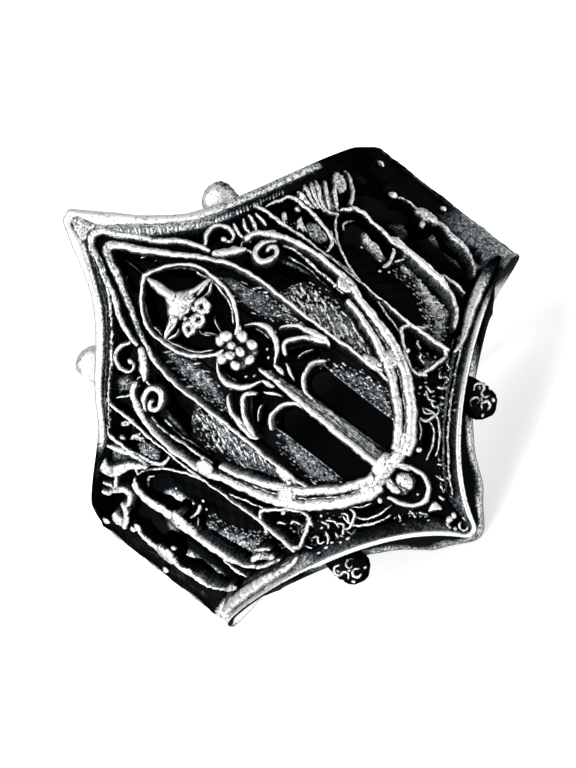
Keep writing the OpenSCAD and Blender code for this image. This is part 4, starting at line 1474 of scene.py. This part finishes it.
def rolled_leaf(metal):
    """The leaf at the left, which was cast as broad folds, and the hook, curl and stem beyond it."""
    metal.mound(on_band, (
        (-43.5, 4.9), (-48.5, 5.1), (-51.2, 4.6), (-50.5, 4.0), (-46.0, 3.4), (-42.0, 2.8), (-41.0, 3.6),
    ), 11.55, 0.24, 0.02)
    metal.mound(on_band, (
        (-22.2, 6.05), (-25.0, 6.5), (-28.0, 6.35), (-29.6, 6.0), (-27.5, 5.62), (-25.4, 5.32),
        (-23.0, 5.6),
    ), 11.5, 0.32, 0.03)
    metal.beads(on_band, ((12.0, -69.6, 1.95, 0.2),))
    # The mullions are broader at the left
    metal.bars(on_band, (
        (12.0, (0.12, 0.22, 0.26, 0.28, 0.3), 0.3,
         ((-48.8, 2.9), (-50.4, 2.2), (-50.7, 1.5), (-50.2, 0.7), (-49.6, 0.0))),
        (12.0, (0.1, 0.16, 0.2, 0.22, 0.15), 0.26,
         ((-66.6, 1.6), (-67.9, 1.1), (-68.8, 0.5), (-68.8, -0.2), (-69.1, -1.2), (-68.5, -2.2))),
        (11.9, (0.06, 0.08), 0.18, ((-30.0, 5.95), (-27.8, 5.5), (-25.4, 5.15))),
        ((12.0, 12.1, 12.15, 12.05, 11.9), (0.2, 0.34, 0.36, 0.3, 0.24, 0.14), 0.3,
         ((-47.0, 5.1), (-50.4, 4.75), (-50.7, 4.2), (-47.4, 3.85), (-44.5, 3.45), (-41.1, 2.6))),
        (12.0, (0.12, 0.18, 0.16, 0.1), 0.24,
         ((-43.7, 5.14), (-42.7, 4.46), (-40.9, 3.69), (-40.3, 3.02), (-41.06, 2.53))),
        (12.05, (0.1, 0.13, 0.12, 0.08), 0.22, ((-56.7, 4.42), (-55.8, 4.0), (-54.3, 3.65), (-49.8, 3.9))),
        (12.1, (0.1, 0.15, 0.16, 0.17, 0.16, 0.14, 0.1), 0.26,
         ((-59.5, 4.26), (-58.9, 3.82), (-57.1, 3.72), (-53.4, 3.15), (-53.1, 2.72), (-56.4, 2.59),
          (-59.6, 2.88))),
        (12.1, (0.13, 0.18, 0.2, 0.16), 0.24, ((-58.6, 2.92), (-61.0, 2.6), (-64.0, 2.45), (-71.0, 2.4))),
    ), uneven=0.4)
    metal.bars(on_band, (
        (12.0, (0.12, 0.2, 0.22, 0.14), 0.24,
         ((-44.5, -4.75), (-42.5, -4.85), (-40.8, -5.1), (-38.3, -5.7))),
        (11.9, (0.08, 0.15, 0.1), 0.2, ((-41.4, -4.55), (-39.4, -4.9), (-37.2, -5.25))),
        (11.95, (0.1, 0.16, 0.1), 0.22, ((-43.2, -5.4), (-40.6, -5.65), (-37.8, -6.0))),
    ))
    metal.mound(on_band, (
        (-47.0, 0.1), (-49.0, 0.3), (-51.0, 0.1), (-51.2, -0.8), (-49.5, -1.5), (-47.6, -0.9),
    ), 11.95, 0.42)
    metal.beads(on_band, ((12.05, -65.6, -0.5, 0.3),))
    metal.bars(on_band, ((11.95, (0.1, 0.22, 0.14), 0.24, ((-62.0, -4.2), (-60.0, -4.4), (-57.6, -4.6))),))
    metal.mound(on_band, ((-68.0, 3.2), (-70.0, 3.3), (-72.0, 3.0), (-72.0, 2.6), (-69.0, 2.6)), 12.0, 0.3)


def rim_line(curve, sign, inset, radius, theta):
    """Path along the inside of a rim: sign is 1 for the upper one and -1 for the lower."""
    return round_band(theta, radius, sign * (rim_height(curve, theta) - inset / edge_lean(curve, theta)))


def rim_threads(metal):
    """Thin worn threads inside the upper rim at the left and inside the lower rim at the right."""
    for curve, sign, start, end in ((UPPER_EDGE, 1, -3, -38), (LOWER_EDGE, -1, 4, 38)):
        theta = np.radians(np.linspace(start, end, 120))
        for inset, depth in ((0.64, 0.32), (0.86, 0.34), (1.08, 0.8)):
            path = rim_line(curve, sign, inset, outer_radius(theta) - depth, theta)
            metal.moulding(path, (0.03, 0.06, 0.045, 0.07, 0.04, 0.06, 0.03), 0.1, 0.3, uneven=2.0)


# Foot of a crocket: its place across, its height and its distance from the finger hole's axis
CROCKET_X = 5.3
CROCKET_BASE = 6.2
CROCKET_R = 10.4
# Half widths of a crocket along its length, by share of it
CROCKET_SHARES = (0, 0.3, 0.55, 0.72, 0.86, 0.95, 1.0)
CROCKET_WIDTHS = (0.55, 0.7, 0.92, 0.98, 0.86, 0.6, 0.2)


def crocket(metal, sign, end):
    """Broad rounded crocket that stands out past an edge: upwards for sign 1, downwards for -1."""
    share = np.linspace(0, 1, 16)
    width = np.interp(share, CROCKET_SHARES, CROCKET_WIDTHS)
    z = CROCKET_BASE + (end - CROCKET_BASE) * share
    y = np.full(16, -math.sqrt(CROCKET_R**2 - CROCKET_X**2))
    # The block leans a little outwards, like the edge that it sits on
    path = np.column_stack([CROCKET_X + 0.12 * share, y, sign * z])
    turns = np.linspace(0, 2 * math.pi, 25)[:-1]
    c, s = np.cos(turns), np.sin(turns)
    # A squarish round, a little flattened
    square = np.column_stack([np.copysign(np.abs(c) ** 0.8, c), 0.82 * np.copysign(np.abs(s) ** 0.8, s)])
    rings = [p + np.array([u * w, v * w, 0]) for p, w in zip(path, width) for u, v in square]
    points = np.array(rings) + metal.random.normal(0, ROUGHNESS, (len(rings), 3))
    metal.add(points, sweep_faces(len(path), len(square)))


def crockets(metal):
    """One crocket above and one below."""
    crocket(metal, 1, 9.1)
    crocket(metal, -1, 10.1)


def on_crocket(points):
    """Points (x, z) on the front of the lower crocket."""
    x, z = np.asarray(points, float).T
    aside = np.clip(np.abs(x - 5.4) / 0.95, 0, 1)
    return np.column_stack([x, -8.95 - 0.78 * np.sqrt(1 - aside**2), z])


def crocket_curls(metal):
    """Small curls and grains on the lower crocket."""
    for curl in (
        ((4.95, -9.1), (5.2, -8.86), (5.5, -8.95), (5.48, -9.22), (5.22, -9.2)),
        ((5.7, -8.7), (5.95, -8.52), (6.2, -8.72), (6.12, -9.0), (5.84, -9.06), (5.8, -9.34), (6.02, -9.5)),
        ((5.2, -9.6), (5.45, -9.42), (5.7, -9.58), (5.6, -9.82), (5.35, -9.85)),
    ):
        metal.moulding(on_crocket(smooth(curl)), (0.07, 0.1, 0.06), 0.1, 0.3)
    grains = (
        (4.8, -9.45), (6.28, -9.2), (5.0, -9.8), (5.95, -9.75), (6.3, -8.85), (5.62, -9.25), (6.0, -8.8),
    )
    for x, z in grains:
        metal.blob(on_crocket([(x, z)])[0], (0.13, 0.09, 0.1), 40 * x)


# Grains along paths and over sheets of the relief, made with Geometry Nodes

def inputs_of(tree, lengths, numbers):
    """Adds a tree's named inputs: lengths in metres, plain numbers, an angle, a seed and a finish."""
    io = tree.interface
    io.new_socket("Base", in_out="INPUT", socket_type="NodeSocketGeometry")
    for name in lengths:
        io.new_socket(name, in_out="INPUT", socket_type="NodeSocketFloat").subtype = "DISTANCE"
    for name in numbers:
        io.new_socket(name, in_out="INPUT", socket_type="NodeSocketFloat").default_value = 1.0
    io.new_socket("Slant", in_out="INPUT", socket_type="NodeSocketFloat").subtype = "ANGLE"
    io.new_socket("Seed", in_out="INPUT", socket_type="NodeSocketInt")
    io.new_socket("Finish", in_out="INPUT", socket_type="NodeSocketMaterial")
    io.new_socket("Grains", in_out="OUTPUT", socket_type="NodeSocketGeometry")
    return node(tree, "NodeGroupInput").outputs


def random_value(tree, low, high, seed):
    """A random number for each grain."""
    made = node(tree, "FunctionNodeRandomValue", {"data_type": "FLOAT"}, {2: low, 3: high, 8: seed})
    return made.outputs[1]


def place_grains(tree, given, points, rotation):
    """Ends a tree: uneven grains at the points, turned by the slant, as real and smooth meshes."""
    jitter = random_value(tree, -0.35, 0.35, given["Seed"])
    angle = node(tree, "ShaderNodeMath", {"operation": "ADD"}, {0: given["Slant"], 1: jitter})
    slant = node(tree, "ShaderNodeCombineXYZ", None, {"Z": angle.outputs[0]})
    turn = node(
        tree, "FunctionNodeRotateRotation", {"rotation_space": "LOCAL"},
        {"Rotation": rotation, "Rotate By": slant.outputs["Vector"]},
    )
    long = node(
        tree, "ShaderNodeMath", {"operation": "MULTIPLY"},
        {0: given["Grain Radius"], 1: given["Stretch"]},
    )
    size = node(
        tree, "ShaderNodeCombineXYZ", None,
        {"X": long.outputs[0], "Y": given["Grain Radius"], "Z": given["Grain Radius"]},
    )
    uneven = node(
        tree, "ShaderNodeVectorMath", {"operation": "SCALE"},
        {"Vector": size.outputs["Vector"], "Scale": random_value(tree, 0.55, 1.35, given["Seed"])},
    )
    grain = node(tree, "GeometryNodeMeshUVSphere", None, {"Segments": 8, "Rings": 4, "Radius": 1.0})
    grains = node(
        tree, "GeometryNodeInstanceOnPoints", None,
        {
            "Points": points, "Instance": grain.outputs["Mesh"],
            "Rotation": turn.outputs["Rotation"], "Scale": uneven.outputs["Vector"],
        },
    )
    real = node(tree, "GeometryNodeRealizeInstances", None, {"Geometry": grains.outputs["Instances"]})
    shade = node(tree, "GeometryNodeSetShadeSmooth", None, {"Geometry": real.outputs["Geometry"]})
    finish = node(
        tree, "GeometryNodeSetMaterial", None,
        {"Geometry": shade.outputs["Geometry"], "Material": given["Finish"]},
    )
    node(tree, "NodeGroupOutput", None, {"Grains": finish.outputs["Geometry"]})


def grain_rows_tree():
    """Grains along every path of a mesh."""
    tree = bpy.data.node_groups.new("grain rows", "GeometryNodeTree")
    given = inputs_of(tree, ("Spacing", "Grain Radius"), ("Stretch",))
    curve = node(tree, "GeometryNodeMeshToCurve", None, {"Mesh": given["Base"]})
    points = node(
        tree, "GeometryNodeResampleCurve", {"mode": "LENGTH"},
        {"Curve": curve.outputs["Curve"], "Length": given["Spacing"]},
    )
    outward = node(
        tree, "GeometryNodeInputNamedAttribute", {"data_type": "FLOAT_VECTOR"}, {"Name": "outward"}
    )
    stand = node(
        tree, "FunctionNodeAlignRotationToVector", {"axis": "Z"}, {"Vector": outward.outputs["Attribute"]}
    )
    tangent = node(tree, "GeometryNodeInputTangent")
    along = node(
        tree, "FunctionNodeAlignRotationToVector", {"axis": "X", "pivot_axis": "Z"},
        {"Rotation": stand.outputs["Rotation"], "Vector": tangent.outputs["Tangent"]},
    )
    place_grains(tree, given, points.outputs["Curve"], along.outputs["Rotation"])
    return tree


def scattered_grains_tree():
    """Grains scattered over sheets, with their long axis near the ring's upright."""
    tree = bpy.data.node_groups.new("scattered grains", "GeometryNodeTree")
    given = inputs_of(tree, ("Spacing", "Grain Radius"), ("Stretch", "Density"))
    points = node(
        tree, "GeometryNodeDistributePointsOnFaces", {"distribute_method": "POISSON"},
        {
            "Mesh": given["Base"], "Distance Min": given["Spacing"],
            "Density Max": given["Density"], "Seed": given["Seed"],
        },
    )
    upright = node(
        tree, "FunctionNodeAlignRotationToVector", {"axis": "X", "pivot_axis": "Z"},
        {"Rotation": points.outputs["Rotation"], "Vector": turned((0, 0, 1))},
    )
    place_grains(tree, given, points.outputs["Points"], upright.outputs["Rotation"])
    return tree


def paths_object(name, paths):
    """A mesh of edges only, one chain for each path, with the outward direction of each point."""
    points, edges, count = [], [], 0
    for path in paths:
        points.append(path)
        edges += [(count + k, count + k + 1) for k in range(len(path) - 1)]
        count += len(path)
    p = np.vstack(points)
    mesh = bpy.data.meshes.new(name)
    mesh.from_pydata(to_world(p).tolist(), edges, [])
    out = unit(p * (1, 1, 0))
    layer = mesh.attributes.new("outward", "FLOAT_VECTOR", "POINT")
    layer.data.foreach_set("vector", np.array([turned(v)[:] for v in out], np.float32).ravel())
    return linked(name, mesh)


SHEET_STEP = 0.12  # mm between the points of a sheet


def sheets_object(name, outlines):
    """Sheets laid on the relief inside closed outlines, on both halves of the ring."""
    points, faces = [], []
    for outline, in_degrees in outlines:
        flat = flat_outline(outline, in_degrees)
        reach = zip(flat.min(axis=0), flat.max(axis=0))
        s, z = np.meshgrid(*[np.arange(low, high, SHEET_STEP) for low, high in reach], indexing="ij")
        inside = inward(flat, s, z) > 0
        theta = s / UNROLL_R
        r = relief(theta, z) + 0.02
        for side in (1, -1):
            index = sum(len(p) for p in points) + np.arange(s.size).reshape(s.shape)
            points.append(round_band(side * theta.ravel(), r.ravel(), z.ravel()))
            whole = inside[:-1, :-1] & inside[1:, :-1] & inside[1:, 1:] & inside[:-1, 1:]
            corners = [index[:-1, :-1], index[1:, :-1], index[1:, 1:], index[:-1, 1:]]
            faces += np.stack(corners, axis=-1)[whole][:, ::side].tolist()
    mesh = bpy.data.meshes.new(name)
    mesh.from_pydata(to_world(np.vstack(points)).tolist(), [], faces)
    return linked(name, mesh)


def grown(obj, tree, values):
    """Runs a node tree on an object and keeps the result as a plain mesh."""
    modifier = obj.modifiers.new("Grains", "NODES")
    modifier.node_group = tree
    for item in tree.interface.items_tree:
        if item.item_type == "SOCKET" and item.in_out == "INPUT" and item.name in values:
            modifier[item.identifier] = values[item.name]
    return evaluated(obj)


# Roped line inside the upper rim
ROPE_R = 12.06
ROPE_INSET = 0.68
ROPE_REACH = (2, 40)  # degrees round the band
ROPE_SPACING = 0.0002  # metres between its grains

# Sheets of grains: outlines, each with whether it is in degrees round the band, then spacing and
# grain radius in millimetres, stretch along the grain, slant in degrees, density in grains for
# each square millimetre, and seed
SHEETS = {
    "ogive_strokes": (
        (
            (((2.3, 5.4), (3.0, 5.2), (3.3, 3.5), (3.25, 1.0), (2.7, 1.3), (1.9, 3.0)), False),
        ),
        0.26, 0.07, 3.6, 32, 9, 3,
    ),
    "shield_strokes": (
        (
            (((3.75, 2.2), (4.6, 1.8), (5.1, 0.6), (5.0, -1.8), (4.4, -3.2), (3.8, -4.3)), False),
        ),
        0.22, 0.085, 3.0, -35, 15, 4,
    ),
    "stipple": (
        (
            (((2.1, -2.2), (2.9, -2.2), (3.35, -3.6), (3.3, -5.4), (2.5, -6.7), (2.05, -6.5), (2.05, -4.0)),
             False),
            (((0.5, -1.4), (1.3, -1.0), (2.2, -1.2), (2.8, -2.0), (2.2, -1.9), (1.3, -1.25), (0.6, -1.9)),
             False),
            (((2.4, 4.6), (3.0, 4.4), (3.35, 3.2), (3.3, 0.2), (2.6, 1.2), (2.1, 2.2)), False),
            (((3.7, 2.5), (4.9, 2.1), (5.5, 1.0), (5.3, -0.8), (4.8, -2.4), (4.1, -3.9), (3.75, -4.6),
              (3.7, -1.0)),
             False),
            (((46, -1.2), (49.6, -0.8), (49.8, -3.0), (47.5, -4.3), (43, -5.2), (36, -5.9), (34.8, -5.6),
              (36.5, -4.6), (41.5, -3.6), (45, -2.4)),
             True),
            (((27.5, -5.2), (31.5, -5.2), (32.0, -6.1), (29.0, -6.2), (24.4, -5.9)), True),
            (((34.5, 4.9), (38.0, 4.9), (40.4, 3.6), (38.5, 2.2), (34.5, 2.4)), True),
            (((0.02, -1.6), (0.34, -1.8), (0.42, -4), (0.4, -6.8), (0.04, -7.0), (0.0, -4)), False),
        ),
        0.13, 0.068, 1.5, 0, 42, 5,
    ),
    "scroll_grains": (
        (
            (((4.0, -6.6), (5.0, -6.2), (6.3, -6.0), (6.2, -7.2), (5.2, -8.2), (4.0, -9.0), (3.6, -8.2)),
             False),
            (((1.0, -9.9), (1.9, -9.6), (2.2, -10.2), (1.2, -11.2), (0.6, -11.9), (0.7, -10.7)), False),
        ),
        0.22, 0.075, 1.8, 50, 8, 6,
    ),
}


def stippled(name, outlines, spacing, radius, stretch, slant, density, seed, material):
    """Grains over sheets, from sizes in millimetres."""
    tree = bpy.data.node_groups.get("scattered grains") or scattered_grains_tree()
    return grown(sheets_object(name, outlines), tree, {
        "Spacing": spacing / 1000, "Grain Radius": radius / 1000, "Stretch": stretch,
        "Slant": math.radians(slant), "Density": density * 1e6, "Seed": seed, "Finish": material,
    })


# Builders of each piece: the halves, which are mirrored, and what stands in the middle
PIECES = {
    "ogive_mouldings": ((ogive_mouldings,), (gable_cap,)),
    "rose_window": ((rose_window, rose_boss), (rose_boss_middle,)),
    "bead_rosette": ((), (bead_rosette,)),
    "cusped_round": ((cusped_round,), ()),
    "lancet_tracery": ((lancet_tracery,), (column,)),
    "shield_frame": ((shield_frame, shield_foot), ()),
    "drop_finial": ((), (drop_finial,)),
    "side_windows": ((upright_bar, side_windows, window_heads), ()),
    "foliage": ((ogive_curl, roundel_leaflets, drop_scrolls), (pleated_leaf, rolled_leaf)),
    "rim_threads": ((), (rim_threads,)),
    "crocket_knobs": ((crockets,), ()),
    "crocket_curls": ((crocket_curls,), ()),
}


# Outline of one lancet, with a round head and a slanting foot
LANCET = (
    (0.55, -6.95), (0.55, -2.1), (0.68, -1.8), (0.9, -1.6), (1.2, -1.52), (1.5, -1.6), (1.8, -1.85),
    (1.95, -2.2), (1.95, -6.4), (1.3, -7.0), (0.9, -7.15),
)
CUT_FROM, CUT_TO = -14, -6  # the prisms run right through the wall of the face


def lancet_cutter():
    """Two prisms for the openings through the wall."""
    n = len(LANCET)
    faces = [tuple(range(n - 1, -1, -1)), tuple(range(n, 2 * n))]
    faces += [(i, (i + 1) % n, n + (i + 1) % n, n + i) for i in range(n)]
    metal = Metal()
    metal.add([(x, y, z) for y in (CUT_FROM, CUT_TO) for x, z in LANCET], faces)
    metal.mirror()
    return metal.make("lancet_cutter", None)


# Add-on

def settings():
    """The values in the sidebar."""
    return bpy.context.scene.tracery_ring


class TraceryRingSettings(bpy.types.PropertyGroup):
    """Colours and sizes that the sidebar shows"""

    bright: bpy.props.StringProperty(
        name="Polished silver", description="Colour of the worn ridges", default="#DEDDDB"
    )
    middle: bpy.props.StringProperty(
        name="Thin sulphide", description="Colour between the ridges and the hollows", default="#6A7378"
    )
    dark: bpy.props.StringProperty(
        name="Blackened silver", description="Colour of the hollows", default="#0B0C0D"
    )
    triangles: bpy.props.IntProperty(
        name="Triangles", description="Triangles of the band after thinning",
        default=190000, min=20000, max=199000,
    )
    grain: bpy.props.FloatProperty(
        name="Grain radius", description="Radius of the grains inside the upper rim",
        default=0.000065, unit="LENGTH",
    )


def finished(obj):
    """Every piece rides on the ring's one body."""
    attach(obj, "root")
    return obj


def silver():
    """The one finish of the ring, in the sidebar's colours."""
    name = "oxidised cast silver"
    s = settings()
    made = bpy.data.materials.get(name)
    return made or oxidised_silver(name, s.bright, s.middle, s.dark, low=0.12, high=0.9)


class RING_OT_band(bpy.types.Operator):
    """Adds the band with its relief and the pierced lancets"""

    bl_idname = "ring.band"
    bl_label = "Band"

    def execute(self, context):
        points, faces = band_mesh()
        obj = object_from("ring_band", points, faces, silver())
        cutter = lancet_cutter()
        cut = obj.modifiers.new("Lancets", "BOOLEAN")
        cut.operation, cut.solver, cut.object = "DIFFERENCE", "MANIFOLD", cutter
        evaluated(obj)
        bpy.data.objects.remove(cutter)
        count = len(triangle_array(obj.data))
        thin = obj.modifiers.new("Thin", "DECIMATE")
        thin.ratio = min(1.0, settings().triangles / count)
        evaluated(obj)
        finished(obj)
        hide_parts("ring")
        return {"FINISHED"}


class RING_OT_tracery(bpy.types.Operator):
    """Adds the mouldings, windows, leaves and knobs that stand on the band"""

    bl_idname = "ring.tracery"
    bl_label = "Tracery"

    def execute(self, context):
        for seed, (name, (halves, middles)) in enumerate(PIECES.items()):
            metal = Metal(seed)
            for build in halves:
                build(metal)
            if halves:
                metal.mirror()
            for build in middles:
                build(metal)
            finished(metal.make(name, silver()))
        return {"FINISHED"}


class RING_OT_grains(bpy.types.Operator):
    """Adds the roped line inside the upper rim at the right and the stippled grounds"""

    bl_idname = "ring.grains"
    bl_label = "Grains"

    def execute(self, context):
        grain = settings().grain
        theta = np.radians(np.linspace(*ROPE_REACH, 260))
        paths = paths_object("rim_ropes", [rim_line(UPPER_EDGE, 1, ROPE_INSET, ROPE_R, theta)])
        tree = bpy.data.node_groups.get("grain rows") or grain_rows_tree()
        finished(grown(paths, tree, {
            "Spacing": ROPE_SPACING, "Grain Radius": grain, "Stretch": 3.4,
            "Slant": math.radians(60), "Seed": 2, "Finish": silver(),
        }))
        for name, (outlines, *values) in SHEETS.items():
            finished(stippled(name, outlines, *values, silver()))
        return {"FINISHED"}


class RING_OT_patina(bpy.types.Operator):
    """Stores on every piece how far each spot is polished, with painted light and shade laid over it"""

    bl_idname = "ring.patina"
    bl_label = "Patina"

    def execute(self, context):
        pieces = [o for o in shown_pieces() if o.type == "MESH"]
        heights = height_map([o for o in pieces if o.name != "ring_band"])
        # Means over about half a millimetre and over a millimetre and a half
        near, wide = blurred(heights, 3), blurred(heights, 8)
        for piece in pieces:
            set_wear_and_light(piece, near, wide)
            if piece.name in RIM_PIECES:
                pull_out_of_true(piece)
        return {"FINISHED"}


# Camera, as a direction from the ring's face: a little to the right and towards the lower tip
CAMERA_YAW = math.radians(2.95)
CAMERA_TILT = math.radians(8.6)
CAMERA_DISTANCE = 500.0
CAMERA_TURN = math.radians(142)  # the upper tip's direction in the picture, from its right
PIXELS_PER_MM = 19.3
PICTURE_HEIGHT = 768
AIM_RIGHT = 1.01
AIM_UP = -0.54
SENSOR = 36.0


def camera_frame():
    """Direction to the camera and the picture's right and up, in the model's frame."""
    level = math.cos(CAMERA_TILT)
    back = turned((math.sin(CAMERA_YAW) * level, -math.cos(CAMERA_YAW) * level, -math.sin(CAMERA_TILT)))
    tip = turned((0, 0, 1))
    tip = (tip - tip.dot(back) * back).normalized()
    right = math.cos(CAMERA_TURN) * tip + math.sin(CAMERA_TURN) * tip.cross(back)
    return back, right, back.cross(right)


# Softboxes: direction from the ring, distance and side in metres, and brightness of the surface
LIGHTS = (
    ("overhead softbox", (-0.35, -0.5, 0.85), 0.9, 1.0, 2.6),
    ("left softbox", (-0.9, -0.6, 0.35), 0.5, 0.35, 2.8),
)
FLOOR_HALF = 1.5  # metres
ROOM_LIGHT = 0.68  # brightness of the white surroundings


def add_floor():
    """The sheet of paper that the ring lies on."""
    h = FLOOR_HALF
    mesh = bpy.data.meshes.new("floor")
    mesh.from_pydata([(-h, -h, 0), (h, -h, 0), (h, h, 0), (-h, h, 0)], [], [(0, 1, 2, 3)])
    mesh.materials.append(paper_floor())
    linked("floor", mesh)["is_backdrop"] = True


def add_camera(front):
    """The camera, aimed beside the front of the face."""
    back, right, up = camera_frame()
    data = bpy.data.cameras.new("camera")
    data.sensor_width = SENSOR
    data.lens = SENSOR * CAMERA_DISTANCE / (PICTURE_HEIGHT / PIXELS_PER_MM)
    data.clip_start, data.clip_end = 0.01, 10
    camera = linked("camera", data)
    target = front + (right * AIM_RIGHT + up * AIM_UP) / 1000
    turn = Matrix((right, up, back)).transposed().to_4x4()
    camera.matrix_world = Matrix.Translation(target + back * CAMERA_DISTANCE / 1000) @ turn
    return camera


def add_lights(front):
    """Softboxes that look at the front of the face."""
    for name, direction, distance, size, glow in LIGHTS:
        light = bpy.data.lights.new(name, "AREA")
        light.size, light.energy = size, glow * math.pi * size**2
        lamp = linked(name, light)
        way = Vector(direction).normalized()
        lamp.location = front + way * distance
        lamp.rotation_mode = "QUATERNION"
        lamp.rotation_quaternion = way.to_track_quat("Z", "Y")


def white_room():
    """Even white surroundings."""
    world = bpy.data.worlds.new("studio")
    world.use_nodes = True
    ground = world.node_tree.nodes["Background"]
    ground.inputs["Color"].default_value = linear("#FFFFFF")
    ground.inputs["Strength"].default_value = ROOM_LIGHT
    return world


class RING_OT_stage(bpy.types.Operator):
    """Adds the floor, the lights and the camera"""

    bl_idname = "ring.stage"
    bl_label = "Stage"

    def execute(self, context):
        add_floor()
        front = Vector(to_world([(0, -RIM_R, 0)])[0])
        context.scene.camera = add_camera(front)
        add_lights(front)
        context.scene.world = white_room()
        context.scene.view_settings.view_transform = "Standard"
        return {"FINISHED"}


class RING_PT_panel(bpy.types.Panel):
    """Lists the ring's parts in the sidebar"""

    bl_idname = "RING_PT_panel"
    bl_label = "Tracery ring"
    bl_space_type = "VIEW_3D"
    bl_region_type = "UI"
    bl_category = "Ring"

    def draw(self, context):
        for name in ("bright", "middle", "dark", "triangles", "grain"):
            self.layout.prop(context.scene.tracery_ring, name)
        for operator in OPERATORS:
            self.layout.operator(operator.bl_idname)


OPERATORS = (RING_OT_stage, RING_OT_band, RING_OT_tracery, RING_OT_grains, RING_OT_patina)
CLASSES = (TraceryRingSettings, *OPERATORS, RING_PT_panel)


def register():
    """Makes the operators, the panel and the values known to Blender."""
    for cls in CLASSES:
        bpy.utils.register_class(cls)
    bpy.types.Scene.tracery_ring = bpy.props.PointerProperty(type=TraceryRingSettings)


def unregister():
    """Takes them away again."""
    del bpy.types.Scene.tracery_ring
    for cls in reversed(CLASSES):
        bpy.utils.unregister_class(cls)


def main():
    """Builds the ring and its stage."""
    register()
    bpy.ops.ring.stage()
    bpy.ops.ring.band()
    bpy.ops.ring.tracery()
    bpy.ops.ring.grains()
    bpy.ops.ring.patina()


if __name__ == "__main__":
    main()
